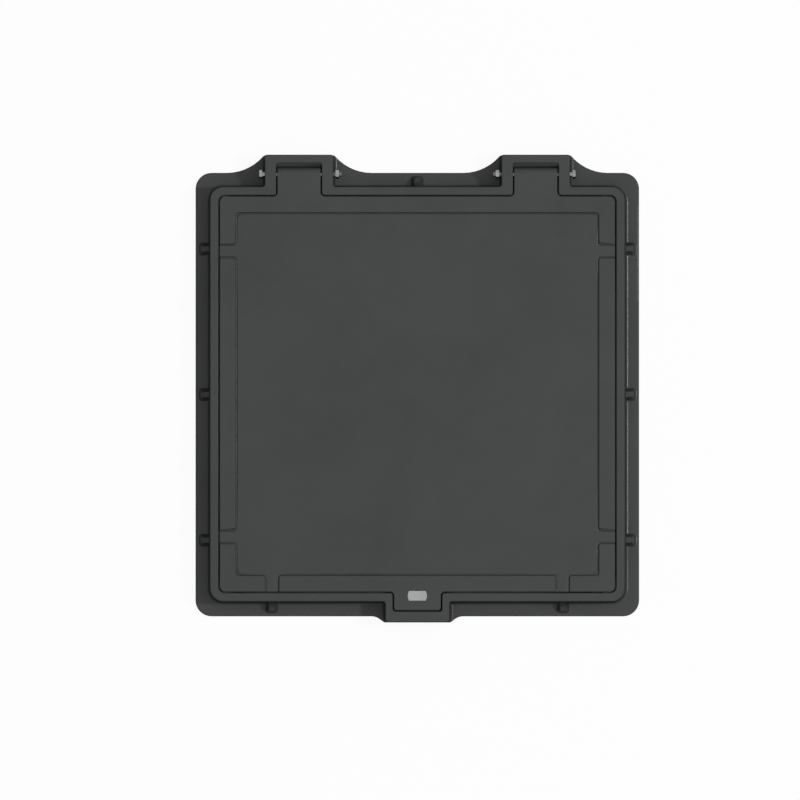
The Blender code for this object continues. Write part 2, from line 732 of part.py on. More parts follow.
def knuckle_trimmer(hinge_x):
    """Cutter that leaves a knuckle behind the hinge axis: round above it, a half oval below it."""
    margin = CLEARANCE / 3
    radius = KNUCKLE_RADIUS + margin
    drop = HINGE_Z - COVER_EDGE_Z + margin
    far = HINGE_Y + KNUCKLE_RADIUS + PAST + PAST
    high = TOP + PAST
    low = COVER_EDGE_Z - PAST
    section = [(HINGE_Y, high), (far, high), (far, low), (HINGE_Y, low)]
    for step in range(ROUND_SIDES + 1):
        turn = math.pi * (step / ROUND_SIDES - 0.5)
        reach = drop if turn < 0 else radius
        section.append((HINGE_Y + radius * math.cos(turn), HINGE_Z + reach * math.sin(turn)))
    half = KNUCKLE_HALF + PAST
    return bar("knuckle_trimmer", section, hinge_x - half, hinge_x + half)


def rib_block():
    half = OPENING_HALF - RIB_GRID_MARGIN
    slope = (COVER_EDGE_Z - COVER_BOTTOM_Z) * math.tan(RIB_DRAFT)
    profile = [
        (-slope - EDGE_ROUND, COVER_BOTTOM_Z),
        (-slope, COVER_BOTTOM_Z + EDGE_ROUND),
        (0.0, COVER_EDGE_Z + OVERLAP),
    ]
    return swept("rib_block", square(half, OPENING_CORNER), profile)


def rib_cell_cutters():
    """The pockets between the ribs: a square grid of drafted cells, open below."""
    pitch = (CLEAR_OPENING - 2 * RIB_GRID_MARGIN - RIB_WIDTH) / RIB_CELLS
    first = -pitch * (RIB_CELLS - 1) / 2
    half = (pitch - RIB_WIDTH) / 2
    narrowing = (PLATE_UNDER_Z - COVER_BOTTOM_Z) * math.tan(RIB_DRAFT)
    fillet = RIB_CORNER / 2
    cells = []
    for column in range(RIB_CELLS):
        for row in range(RIB_CELLS):
            x = first + pitch * column
            y = first + pitch * row
            plan = rectangle(x - half, x + half, y - half, y + half, RIB_CORNER, RIB_TOLERANCE)
            profile = [
                (0.0, COVER_BOTTOM_Z - PAST),
                (0.0, COVER_BOTTOM_Z),
                (-narrowing, PLATE_UNDER_Z - fillet),
                (-narrowing - fillet, PLATE_UNDER_Z),
            ]
            cells.append(swept("rib_cell", plan, profile))
    return gathered("rib_cells", cells)


def panel_cutter():
    floor = TOP - PANEL_DROP
    return swept("panel", panel_plan(), [(0.0, floor), (PANEL_DROP / 2, TOP + PANEL_DROP)])


def groove_cutter():
    """Narrow groove along the foot of the border, all round the panel and its channels."""
    floor = TOP - PANEL_DROP - GROOVE_DEPTH
    high = TOP + PANEL_DROP
    lean = GROOVE_WIDTH / 4
    inner = -GROOVE_WIDTH
    profile = [(-lean, floor), (0.0, floor + GROOVE_DEPTH), (0.0, high), (inner, high)]
    profile += [(inner, floor + GROOVE_DEPTH), (inner + lean, floor)]
    return swept("groove", panel_plan(), profile, ring=True)


def keyhole_outline():
    return double_d(KEYHOLE_RADIUS, KEYHOLE_WIDTH, LOCK_Y)


def keyhole_cutter():
    """Slot for the key, stepped out at the top to take the plug's head."""
    step_z = TOP - PLUG_HEAD - CLEARANCE
    slot = CLEARANCE - KEYHOLE_STEP
    profile = [(slot, PLATE_UNDER_Z - PAST), (slot, step_z), (CLEARANCE, step_z), (CLEARANCE, TOP + PAST)]
    return swept("keyhole", keyhole_outline(), profile)


def pry_notch_cutter():
    """Small half-round notch behind the plug, for a screwdriver's tip."""
    edge = LOCK_Y + KEYHOLE_WIDTH / 2
    profile = [(PRY_NOTCH_RADIUS, TOP - PLUG_HEAD), (PRY_NOTCH_RADIUS, TOP + PAST)]
    return swept("pry_notch", circle(0.0, edge, SMALL_SIDES), profile)


def lock_flange_outline():
    rim = LOCK_CUP_RADIUS + LOCK_CUP_WALL + LOCK_FLANGE_RIM
    return two_eared(rim, LOCK_EAR_RADIUS, LOCK_SCREW_AT, LOCK_Y)


def lock_recess_cutter():
    gap = 2 * CLEARANCE
    profile = [(gap, COVER_EDGE_Z - PAST), (gap, PLATE_UNDER_Z)]
    return swept("lock_recess", lock_flange_outline(), profile)


def insert_hole_cutter(x):
    radius = LOCK_SCREW_DIAMETER / 2 + CLEARANCE + INSERT_WALL + CLEARANCE
    profile = [(radius, PLATE_UNDER_Z - PAST), (radius, PLATE_UNDER_Z + INSERT_LENGTH + CLEARANCE)]
    return swept("insert_hole", circle(x, LOCK_Y, SMALL_SIDES), profile)


def make_cover():
    cover = join(cover_plate(), rib_block())
    cut(cover, rib_cell_cutters(), panel_cutter(), groove_cutter())
    bore = BUSH_RADIUS + CLEARANCE
    for hinge_x in (-HINGE_X, HINGE_X):
        reach = KNUCKLE_HALF + PAST
        cut(cover, knuckle_trimmer(hinge_x))
        cut(cover, rod_along_x("bush_bore", bore, hinge_x - reach, hinge_x + reach, HINGE_Y, HINGE_Z))
    cut(cover, lock_recess_cutter(), keyhole_cutter(), pry_notch_cutter())
    for x in (-LOCK_SCREW_AT, LOCK_SCREW_AT):
        cut(cover, insert_hole_cutter(x))
    return cover


# Hinge hardware

def hex_prism(name, low, high):
    """Hexagon along Z with its end edges broken."""
    profile = [
        (-HEX_CHAMFER, low),
        (0.0, low + HEX_CHAMFER),
        (0.0, high - HEX_CHAMFER),
        (-HEX_CHAMFER, high),
    ]
    return swept(name, hexagon(HEX_ACROSS_FLATS), profile)


def make_hinge_bolt(name):
    """Hexagon bolt along +Z from under its head at z = 0."""
    bolt = hex_prism(name, -BOLT_HEAD_HEIGHT, 0.0)
    radius = BOLT_DIAMETER / 2
    profile = [
        (radius, -BOLT_HEAD_HEIGHT / 2),
        (radius, BOLT_LENGTH - BOLT_END_CHAMFER),
        (radius - BOLT_END_CHAMFER, BOLT_LENGTH),
    ]
    return join(bolt, swept("shank", circle(sides=SMALL_SIDES), profile))


def make_nut(name):
    """Hexagon nut standing on z = 0, bored clear of its stud."""
    nut = hex_prism(name, 0.0, NUT_HEIGHT)
    bore = BOLT_DIAMETER / 2 + CLEARANCE
    profile = [(bore, -PAST), (bore, NUT_HEIGHT + PAST)]
    return cut(nut, swept("nut_bore", circle(sides=SMALL_SIDES), profile))


def tube(name, inner, outer, low, high, sides=ROUND_SIDES):
    return swept(
        name, circle(sides=sides), [(inner, low), (outer, low), (outer, high), (inner, high)], ring=True
    )


def make_hinge_hardware(side, sign):
    """Bolt, nut and bush of one hinge; the head is on the side away from the middle."""
    hinge_x = sign * HINGE_X
    inwards = Matrix.Rotation(-sign * math.pi / 2, 4, "Y")
    head_x = hinge_x + sign * (HINGE_WALL_HALF + BOLT_HEAD_STANDOFF)
    nut_x = hinge_x - sign * (HINGE_WALL_HALF + NUT_STANDOFF)
    bolt = make_hinge_bolt(f"hinge_bolt_{side}")
    moved(bolt, Matrix.Translation((head_x, HINGE_Y, HINGE_Z)) @ inwards)
    nut = make_nut(f"hinge_nut_{side}")
    moved(nut, Matrix.Translation((nut_x, HINGE_Y, HINGE_Z)) @ inwards)
    half = KNUCKLE_HALF - (TOP - HINGE_Z) * math.tan(COVER_DRAFT)
    bush = tube(f"hinge_bush_{side}", BUSH_RADIUS - BUSH_WALL, BUSH_RADIUS, -half, half, SMALL_SIDES)
    moved(bush, Matrix.Translation((hinge_x, HINGE_Y, HINGE_Z)) @ inwards)
    return bolt, nut, bush


# Lock

def make_plug():
    """Plug that closes the keyhole: a head in the step and a stem in the slot."""
    stem_end = TOP - PLUG_LENGTH
    shoulder = TOP - PLUG_HEAD
    chamfer = CLEARANCE * 2
    profile = [
        (-KEYHOLE_STEP - chamfer, stem_end),
        (-KEYHOLE_STEP, stem_end + chamfer),
        (-KEYHOLE_STEP, shoulder),
        (0.0, shoulder),
        (0.0, TOP - chamfer),
        (-chamfer, TOP),
    ]
    return swept("keyhole_plug", keyhole_outline(), profile)


def screw_hole_cutters(low, high):
    radius = LOCK_SCREW_DIAMETER / 2 + CLEARANCE
    holes = []
    for x in (-LOCK_SCREW_AT, LOCK_SCREW_AT):
        plan = circle(x, LOCK_Y, SMALL_SIDES)
        holes.append(swept("screw_hole", plan, [(radius, low - PAST), (radius, high + PAST)]))
    return holes


def make_lock_gasket():
    low = GASKET_TOP_Z - LOCK_GASKET_THICKNESS
    gasket = swept("lock_gasket", lock_flange_outline(), [(0.0, low), (0.0, GASKET_TOP_Z)])
    mouth = swept(
        "gasket_mouth", circle(0.0, LOCK_Y),
        [(LOCK_CUP_RADIUS, low - PAST), (LOCK_CUP_RADIUS, GASKET_TOP_Z + PAST)],
    )
    return cut(gasket, mouth, *screw_hole_cutters(low, GASKET_TOP_Z))


def make_lock_housing():
    """Flange with two ears and a round cup below it, with a hole in its floor for the shaft."""
    flange = [(0.0, LOCK_FLANGE_UNDER_Z), (0.0, LOCK_FLANGE_TOP_Z)]
    housing = swept("lock_housing", lock_flange_outline(), flange)
    outside = LOCK_CUP_RADIUS + LOCK_CUP_WALL
    cup = [
        (outside - EDGE_ROUND, CUP_UNDER_Z),
        (outside, CUP_UNDER_Z + EDGE_ROUND),
        (outside, LOCK_FLANGE_UNDER_Z + LOCK_FLANGE_THICKNESS / 2),
    ]
    join(housing, swept("cup", circle(0.0, LOCK_Y), cup))
    shaft = SPINDLE_SHAFT_DIAMETER / 2 + CLEARANCE
    hollow = [
        (shaft, CUP_UNDER_Z - PAST),
        (shaft, CUP_FLOOR_Z),
        (LOCK_CUP_RADIUS, CUP_FLOOR_Z),
        (LOCK_CUP_RADIUS, LOCK_FLANGE_TOP_Z + PAST),
    ]
    cut(housing, swept("hollow", circle(0.0, LOCK_Y), hollow))
    return cut(housing, *screw_hole_cutters(LOCK_FLANGE_UNDER_Z, LOCK_FLANGE_TOP_Z))


def make_lock_spindle():
    """Turned head with the key's socket, on a shaft that ends in a square and a stud."""
    head = LOCK_CUP_RADIUS - CLEARANCE
    shaft = SPINDLE_SHAFT_DIAMETER / 2
    square_top = CAM_TOP_Z + CLEARANCE
    turned = [
        (shaft, square_top),
        (shaft, SPINDLE_HEAD_Z),
        (head, SPINDLE_HEAD_Z),
        (head, SPINDLE_TOP_Z - CLEARANCE),
        (head - CLEARANCE, SPINDLE_TOP_Z),
    ]
    spindle = swept("lock_spindle", circle(0.0, LOCK_Y), turned)
    half = SPINDLE_SQUARE / 2
    plan = rectangle(-half, half, LOCK_Y - half, LOCK_Y + half, EDGE_ROUND)
    key = [(0.0, CAM_UNDER_Z + CLEARANCE), (0.0, square_top + OVERLAP)]
    join(spindle, swept("spindle_square", plan, key))
    stud = BOLT_DIAMETER / 2
    thread = [
        (stud - BOLT_END_CHAMFER, STUD_END_Z),
        (stud, STUD_END_Z + BOLT_END_CHAMFER),
        (stud, CAM_UNDER_Z + OVERLAP),
    ]
    join(spindle, swept("spindle_stud", circle(0.0, LOCK_Y, SMALL_SIDES), thread))
    socket_z = SPINDLE_TOP_Z - SPINDLE_SOCKET_DEPTH
    fit = CLEARANCE - KEYHOLE_STEP
    socket = swept("socket", keyhole_outline(), [(fit, socket_z), (fit, SPINDLE_TOP_Z + PAST)])
    return cut(spindle, socket)


def make_disc_spring():
    """Cone-shaped spring washer that keeps the spindle where it is turned to."""
    inner = SPINDLE_SHAFT_DIAMETER / 2 + CLEARANCE
    outer = LOCK_CUP_RADIUS - CLEARANCE
    low = CUP_FLOOR_Z + CLEARANCE
    profile = [
        (inner, low + DISC_SPRING_CONE),
        (outer, low),
        (outer, low + DISC_SPRING_THICKNESS),
        (inner, low + DISC_SPRING_CONE + DISC_SPRING_THICKNESS),
    ]
    return swept("lock_disc_spring", circle(0.0, LOCK_Y), profile, ring=True)


def make_lock_cam():
    """Flat tongue on the spindle's square, drawn unlocked, along +X inside the passage."""
    half = CAM_WIDTH / 2
    corners = [
        (-half, LOCK_Y - half, CAM_HEEL_RADIUS),
        (CAM_LENGTH, LOCK_Y - half, POCKET_CORNER),
        (CAM_LENGTH, LOCK_Y + half, POCKET_CORNER),
        (-half, LOCK_Y + half, CAM_HEEL_RADIUS),
    ]
    chamfer = CLEARANCE * 2
    profile = [
        (-chamfer, CAM_UNDER_Z),
        (0.0, CAM_UNDER_Z + chamfer),
        (0.0, CAM_TOP_Z - chamfer),
        (-chamfer, CAM_TOP_Z),
    ]
    cam = swept("lock_cam", rounded(corners), profile)
    hole = SPINDLE_SQUARE / 2 + CLEARANCE
    plan = rectangle(-hole, hole, LOCK_Y - hole, LOCK_Y + hole, EDGE_ROUND)
    return cut(cam, swept("cam_hole", plan, [(0.0, CAM_UNDER_Z - PAST), (0.0, CAM_TOP_Z + PAST)]))


def make_cam_fasteners():
    washer = tube(
        "lock_cam_washer", BOLT_DIAMETER / 2 + CLEARANCE, CAM_WASHER_DIAMETER / 2,
        CAM_WASHER_Z, CAM_WASHER_Z + CAM_WASHER_THICKNESS, SMALL_SIDES,
    )
    moved(washer, Matrix.Translation((0, LOCK_Y, 0)))
    nut = moved(make_nut("lock_cam_nut"), Matrix.Translation((0, LOCK_Y, CAM_NUT_Z)))
    return washer, nut


def make_lock_screw(side, x):
    """Screw up through the housing's ear, and the threaded insert that it holds in the plate."""
    head_top = LOCK_FLANGE_UNDER_Z - CLEARANCE
    head_low = head_top - LOCK_SCREW_HEAD_HEIGHT
    head = LOCK_SCREW_HEAD_DIAMETER / 2
    shank = LOCK_SCREW_DIAMETER / 2
    chamfer = CLEARANCE * 2
    profile = [
        (head - chamfer, head_low),
        (head, head_low + chamfer),
        (head, head_top),
        (shank, head_top),
        (shank, head_top + LOCK_SCREW_LENGTH - chamfer),
        (shank - chamfer, head_top + LOCK_SCREW_LENGTH),
    ]
    screw = swept(f"lock_screw_{side}", circle(x, LOCK_Y, SMALL_SIDES), profile)
    bore = shank + CLEARANCE
    insert = tube(
        f"lock_insert_{side}", bore, bore + INSERT_WALL,
        PLATE_UNDER_Z, PLATE_UNDER_Z + INSERT_LENGTH, SMALL_SIDES,
    )
    moved(insert, Matrix.Translation((x, LOCK_Y, 0)))
    return screw, insert


# Materials and assembly

def material(name, colour, roughness, metallic):
    made = bpy.data.materials.new(name)
    made.use_nodes = True
    shader = made.node_tree.nodes["Principled BSDF"]
    shader.inputs["Base Color"].default_value = (*colour, 1.0)
    shader.inputs["Roughness"].default_value = roughness
    shader.inputs["Metallic"].default_value = metallic
    return made


def empty(name, parent, at):
    """An empty at a point given about the middle of the opening."""
    made = bpy.data.objects.new(name, None)
    bpy.context.scene.collection.objects.link(made)
    made.parent = parent
    made["at"] = at
    made.location = Vector(at) - Vector(parent["at"]) if parent else Vector((0, OPENING_Y, 0))
    return made


def hang(parent, finish, *pieces):
    """Gives pieces their material and hangs them on an empty, their origins at that empty."""
    for piece in pieces:
        piece.data.transform(Matrix.Translation(-Vector(parent["at"])))
        piece.parent = parent
        piece.data.materials.append(finish)
        piece.data.shade_smooth()
        piece.data.set_sharp_from_angle(angle=math.radians(30.0))


def main():
    for old in list(bpy.data.objects):
        bpy.data.objects.remove(old)

    composite = material("composite", COMPOSITE_GREY, 0.55, 0.0)
    steel = material("stainless_steel", STEEL_GREY, 0.35, 1.0)
    plug_plastic = material("plug_plastic", PLUG_GREY, 0.5, 0.0)
    rubber = material("rubber", RUBBER_BLACK, 0.8, 0.0)
    brass = material("brass", BRASS_YELLOW, 0.4, 1.0)

    opening = empty("opening_centre", None, (0.0, 0.0, 0.0))
    hinge = empty("hinge_axis", opening, (0.0, HINGE_Y, HINGE_Z))
    lock = empty("lock_axis", hinge, (0.0, LOCK_Y, TOP))

    hang(opening, composite, make_frame())
    hang(opening, rubber, make_seal())
    hang(hinge, composite, make_cover())
    for side, sign in (("left", -1), ("right", 1)):
        bolt, nut, bush = make_hinge_hardware(side, sign)
        hang(opening, steel, bolt, nut)
        hang(hinge, steel, bush)
        screw, insert = make_lock_screw(side, sign * LOCK_SCREW_AT)
        hang(hinge, steel, screw)
        hang(hinge, brass, insert)

    hang(lock, plug_plastic, make_plug())
    hang(hinge, rubber, make_lock_gasket())
    hang(hinge, steel, make_lock_housing(), make_disc_spring())
    hang(lock, steel, make_lock_spindle(), make_lock_cam(), *make_cam_fasteners())


main()
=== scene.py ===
"""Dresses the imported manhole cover: eased mouldings, turned fittings, finishes and studio."""

import math

import bmesh
import bpy
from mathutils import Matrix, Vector


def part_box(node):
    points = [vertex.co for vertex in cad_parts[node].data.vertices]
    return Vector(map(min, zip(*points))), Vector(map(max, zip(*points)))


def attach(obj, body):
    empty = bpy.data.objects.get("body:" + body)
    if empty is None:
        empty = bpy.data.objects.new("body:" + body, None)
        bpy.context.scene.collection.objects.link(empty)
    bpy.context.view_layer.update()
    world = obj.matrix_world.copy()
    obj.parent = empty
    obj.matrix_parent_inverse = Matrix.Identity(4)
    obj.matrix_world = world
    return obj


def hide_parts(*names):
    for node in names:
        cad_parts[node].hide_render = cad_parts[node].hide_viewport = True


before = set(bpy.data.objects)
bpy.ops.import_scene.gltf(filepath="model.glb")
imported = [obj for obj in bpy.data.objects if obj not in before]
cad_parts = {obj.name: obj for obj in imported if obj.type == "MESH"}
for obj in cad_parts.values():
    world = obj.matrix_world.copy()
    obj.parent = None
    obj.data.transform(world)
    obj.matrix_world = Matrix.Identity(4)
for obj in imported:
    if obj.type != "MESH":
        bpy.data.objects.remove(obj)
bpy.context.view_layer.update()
for name in ("Cube", "Light", "Camera"):
    if name in bpy.data.objects:
        bpy.data.objects.remove(bpy.data.objects[name])


# The moulded frame. It is pressed in one piece from dark grey glass-filled compound: flange, wall,
# rim, gussets, hinge and lock pockets and the shelf that the cover sits over. The moulding's own
# corners are eased a little, as they leave the tool, and the proud ones are paler: partly rubbed
# wear, partly a painted highlight.

def pick(piece):
    """Leaves only this piece selected and active."""
    bpy.ops.object.select_all(action="DESELECT")
    piece.select_set(True)
    bpy.context.view_layer.objects.active = piece


def copy_of_node(node, name, *finishes):
    """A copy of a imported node's mesh as a piece of its own, with these materials."""
    piece = bpy.data.objects.new(name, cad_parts[node].data.copy())
    bpy.context.scene.collection.objects.link(piece)
    piece.data.materials.clear()
    for finish in finishes:
        piece.data.materials.append(finish)
    return piece


def weld_and_flatten(piece, weld, cuts_x, cuts_y):
    """Merges a copy's loose triangles and joins the flat ones into plain faces, cut into strips."""
    sliver = 0.00002
    flat = math.radians(0.6)
    pick(piece)
    bpy.ops.object.mode_set(mode="EDIT")
    bpy.ops.mesh.select_all(action="SELECT")
    bpy.ops.mesh.remove_doubles(threshold=weld)
    bpy.ops.mesh.dissolve_degenerate(threshold=sliver)
    for normal, places in (((1, 0, 0), cuts_x), ((0, 1, 0), cuts_y)):
        for place in places:
            bpy.ops.mesh.select_all(action="SELECT")
            bpy.ops.mesh.bisect(plane_co=[place * along for along in normal], plane_no=normal)
            bpy.ops.mesh.mark_seam()
    bpy.ops.mesh.select_all(action="SELECT")
    bpy.ops.mesh.dissolve_limited(angle_limit=flat, delimit={"SEAM"})
    bpy.ops.object.mode_set(mode="OBJECT")


def distance_to_edge(point, edge):
    """How far a point lies from an edge."""
    start, end = edge.verts[0].co, edge.verts[1].co
    along = end - start
    share = min(max((point - start).dot(along) / along.length_squared, 0.0), 1.0)
    return (start + along * share - point).length


def ease_edges(piece, width, segments, sharper_than, proud_slot=None, hollows=True):
    """Bevels each sharp edge that has room for it, and can give the proud bevels their own slot."""
    room = 2.1 * width
    pick(piece)
    bpy.ops.object.mode_set(mode="EDIT")
    bpy.ops.mesh.select_mode(type="EDGE")
    bpy.ops.mesh.select_all(action="DESELECT")
    mesh = bmesh.from_edit_mesh(piece.data)
    for edge in mesh.edges:
        if len(edge.link_faces) != 2 or edge.calc_face_angle() < math.radians(sharper_than):
            continue
        if not hollows and edge.calc_face_angle_signed() < 0:
            continue
        others = [v for face in edge.link_faces for v in face.verts if v not in edge.verts]
        edge.select_set(all(distance_to_edge(v.co, edge) > room for v in others))
    bmesh.update_edit_mesh(piece.data)
    bpy.ops.mesh.bevel(offset=width, offset_type="OFFSET", segments=segments, clamp_overlap=False)
    if proud_slot is not None:
        mesh = bmesh.from_edit_mesh(piece.data)
        for face in mesh.faces:
            if face.select and sum(edge.calc_face_angle_signed(0) for edge in face.edges) > 0:
                face.material_index = proud_slot
        bmesh.update_edit_mesh(piece.data)
    bpy.ops.object.mode_set(mode="OBJECT")


def worn_highlit_rounds(piece, slot, *bands):
    """Gives the narrow rounded edges that lie in these bands of height a slot of their own, for paler
    wear and painted highlight.
    """
    narrow = 0.0014
    steepest, flattest = 0.1, 0.995
    corners = piece.data.vertices
    for face in piece.data.polygons:
        longest = max((corners[a].co - corners[b].co).length for a, b in face.edge_keys)
        rounded = face.area / longest < narrow and steepest < face.normal.z < flattest
        if rounded and any(low < face.center.z < high for low, high in bands):
            face.material_index = slot


def fit(piece, node, body):
    """Smooths a finished piece, flat on its wide faces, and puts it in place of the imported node."""
    pick(piece)
    bpy.ops.object.shade_smooth_by_angle(angle=math.radians(38))
    bpy.ops.object.modifier_add(type="WEIGHTED_NORMAL")
    piece.modifiers[-1].keep_sharp = True
    bpy.ops.object.modifier_apply(modifier=piece.modifiers[-1].name)
    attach(piece, body)
    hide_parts(node)


def new_material(name, metallic=0.0, specular=0.5):
    """A material with only its shader, and the constant values on the shader's own sockets."""
    material = bpy.data.materials.new(name)
    material.use_nodes = True
    shader = material.node_tree.nodes["Principled BSDF"]
    shader.inputs["Metallic"].default_value = metallic
    shader.inputs["Specular IOR Level"].default_value = specular
    return material, shader


def add(material, kind, **values):
    """A node in the material, with its sockets or settings given by name."""
    node = material.node_tree.nodes.new("ShaderNode" + kind)
    for key, value in values.items():
        socket = key.replace("_", " ").title()
        if socket in node.inputs:
            node.inputs[socket].default_value = value
        else:
            setattr(node, key, value)
    return node


def wire(material, source, socket):
    """Links a node's output to a socket."""
    material.node_tree.links.new(source, socket)


def noise(material, place, scale, detail, roughness=0.55, distortion=0.0):
    """Noise in the piece's own metres."""
    node = add(material, "TexNoise", scale=scale, detail=detail, roughness=roughness,
               distortion=distortion)
    wire(material, place, node.inputs["Vector"])
    return node.outputs["Fac"]


def stretched(material, place, scale, turn=(0.0, 0.0, 0.0)):
    """The piece's own place, stretched and turned for a pattern that runs one way."""
    node = add(material, "Mapping", scale=scale, rotation=turn)
    wire(material, place, node.inputs["Vector"])
    return node.outputs["Vector"]


def ranged(material, value, low, high, to_low, to_high):
    """A value's range from low to high spread over another range."""
    node = add(material, "MapRange", from_min=low, from_max=high, to_min=to_low, to_max=to_high)
    wire(material, value, node.inputs["Value"])
    return node.outputs["Result"]


def blend(material, share, first, second):
    """Two colours mixed by a share; each is a number, a colour or a node's output."""
    node = add(material, "Mix", data_type="RGBA")
    factor_socket, first_colour, second_colour = (node.inputs[place] for place in (0, 6, 7))
    givens = ((factor_socket, share), (first_colour, first), (second_colour, second))
    for socket, given in givens:
        if isinstance(given, (int, float)):
            socket.default_value = given
        elif isinstance(given, tuple):
            socket.default_value = (*given, 1.0)
        else:
            wire(material, given, socket)
    mixed_colour = node.outputs[2]
    return mixed_colour


def bump(material, shader, *layers):
    """Stacks (height, strength, depth in metres) layers of bump, the coarsest first."""
    below = None
    for height, strength, depth in layers:
        node = add(material, "Bump", strength=strength, distance=depth)
        wire(material, height, node.inputs["Height"])
        if below is not None:
            wire(material, below, node.inputs["Normal"])
        below = node.outputs["Normal"]
    wire(material, below, shader.inputs["Normal"])
    wire(material, below, shader.inputs["Coat Normal"])


def maths(material, kind, first, second=None):
    """One sum of a value with another value or a number."""
    node = add(material, "Math", operation=kind)
    wire(material, first, node.inputs[0])
    if isinstance(second, (int, float)):
        node.inputs[1].default_value = second
    elif second is not None:
        wire(material, second, node.inputs[1])
    return node.outputs[0]


def between(material, value, low, high):
    """1 while a value lies between two limits, fading to 0 just outside them."""
    soft = 0.0006
    above = ranged(material, value, low - soft, low, 0.0, 1.0)
    under = ranged(material, value, high, high + soft, 1.0, 0.0)
    return maths(material, "MULTIPLY", above, under)


def past_limit(material, value, limit):
    """What is left of a value's size past a limit, and 0 short of it."""
    rest = maths(material, "SUBTRACT", maths(material, "ABSOLUTE", value), limit)
    return maths(material, "MAXIMUM", rest, 0.0)


opening_y = -0.00965


def low_in_gap(material, place):
    """1 on the gap's wall round the cover's square and before its tab, for dust and painted light."""
    corner_middle, gap_inside, gap_outside = 0.3170, 0.0173, 0.0214
    tab_front, tab_back, tab_half = -0.3700, -0.3655, 0.044
    parts = add(material, "SeparateXYZ")
    wire(material, place, parts.inputs[0])
    x, y, z = parts.outputs
    forward = maths(material, "ADD", y, -opening_y)
    aside = past_limit(material, x, corner_middle)
    along = past_limit(material, forward, corner_middle)
    squares = [maths(material, "POWER", way, 2.0) for way in (aside, along)]
    outward = maths(material, "SQRT", maths(material, "ADD", *squares))
    square = between(material, outward, gap_inside, gap_outside)
    front = between(material, forward, tab_front, tab_back)
    across = between(material, past_limit(material, x, 0.0), 0.0, tab_half)
    gap = maths(material, "MAXIMUM", square, maths(material, "MULTIPLY", front, across))
    above_seat = ranged(material, z, 0.040, 0.044, 0.0, 1.0)
    below_rim = ranged(material, z, 0.062, 0.0745, 1.0, 0.0)
    return maths(material, "MULTIPLY", gap, maths(material, "MULTIPLY", above_seat, below_rim))


def composite(name, dark, light, fleck, scuffed, sheen, dusty_lit_gap=False):
    """Glass-filled moulding compound: cloudy grey, pale fibres, fine tool grain, faint scuffs."""
    material, shader = new_material(name, specular=0.0)
    shader.inputs["Coat IOR"].default_value = 3.0
    shader.inputs["Coat Weight"].default_value = sheen
    shader.inputs["Coat Roughness"].default_value = 0.2
    place = add(material, "TexCoord").outputs["Object"]
    clouds = noise(material, place, 7.0, 4.0, 0.6, 0.4)
    blotches = noise(material, place, 46.0, 5.0, 0.6)
    grain = noise(material, place, 1150.0, 2.0, 0.5)
    waves = noise(material, place, 13.0, 1.0)
    dragged = stretched(material, place, (260.0, 34.0, 60.0), (0.0, 0.0, 0.7))
    streaks = noise(material, dragged, 1.0, 3.0, 0.7, 1.2)
    fibres = None
    for turn in (0.45, 1.5, 2.6):
        strands = add(material, "TexVoronoi", scale=1.0)
        drawn_out = stretched(material, place, (75.0, 620.0, 300.0), (0.0, 0.3, turn))
        wire(material, drawn_out, strands.inputs["Vector"])
        nearest = strands.outputs["Distance"]
        fibres = nearest if fibres is None else maths(material, "MINIMUM", fibres, nearest)
    cloudy = blend(material, ranged(material, clouds, 0.34, 0.66, 0.0, 1.0), dark, light)
    mottled = blend(material, ranged(material, blotches, 0.3, 0.7, 0.0, 0.5), cloudy, light)
    flecked = blend(material, ranged(material, fibres, 0.06, 0.16, 0.55, 0.0), mottled, fleck)
    marks = ranged(material, streaks, 0.66, 0.78, 0.0, scuffed)
    surface_tone = blend(material, marks, flecked, fleck)
    # Pale dust on the gap's walls, which is also painted light: it lightens the dark line of the gap.
    if dusty_lit_gap:
        specks = noise(material, place, 170.0, 4.0, 0.65)
        patchy = ranged(material, specks, 0.3, 0.65, 0.4, 1.0)
        gap_dust_and_light = maths(material, "MULTIPLY", low_in_gap(material, place), patchy)
        surface_tone = blend(material, gap_dust_and_light, surface_tone, (0.25, 0.246, 0.238))
    wire(material, surface_tone, shader.inputs["Base Color"])
    wire(material, ranged(material, blotches, 0.3, 0.7, 0.45, 0.6), shader.inputs["Roughness"])
    bump(material, shader, (waves, 0.25, 0.0006), (blotches, 0.12, 0.0003), (grain, 0.22, 0.00012))
    return material


moulding_tones = (0.0460, 0.0480, 0.0475), (0.0530, 0.0550, 0.0545), (0.070, 0.072, 0.071)
moulding_wear = {"scuffed": 0.2, "sheen": 0.042}
frame_moulding = composite("frame_moulding_grey", *moulding_tones, **moulding_wear, dusty_lit_gap=True)
# The paler tones on proud and rounded edges are partly rubbed wear and partly a painted highlight
# along the edges; their low sheen keeps them from glinting.
worn_highlit_tones = (0.0520, 0.0540, 0.0532), (0.0600, 0.0620, 0.0611), (0.080, 0.081, 0.079)
worn_highlit_edge = composite("moulding_rubbed_edge", *worn_highlit_tones, scuffed=0.5, sheen=0.004)
worn_highlit_slot = 1
flange_edge = (0.0090, 0.0120)
top_edge = (0.0732, 0.0750)

moulded_frame = copy_of_node("frame", "moulded_frame", frame_moulding, worn_highlit_edge)
weld_and_flatten(
    moulded_frame, 0.0004,
    cuts_x=(-0.355, -0.31, -0.2, -0.06, 0.06, 0.2, 0.31, 0.355),
    cuts_y=(-0.36, -0.32, -0.2, -0.07, 0.05, 0.15, 0.31, 0.34),
)
ease_edges(moulded_frame, width=0.0006, segments=2, sharper_than=28, proud_slot=worn_highlit_slot,
           hollows=False)
worn_highlit_rounds(moulded_frame, worn_highlit_slot, flange_edge, top_edge)
fit(moulded_frame, "frame", "frame")


# The seal. A black rubber cord of D section, pressed into the groove of the frame's shelf, that the
# cover's edge squeezes. Its seam is vulcanised, so it runs round unbroken.

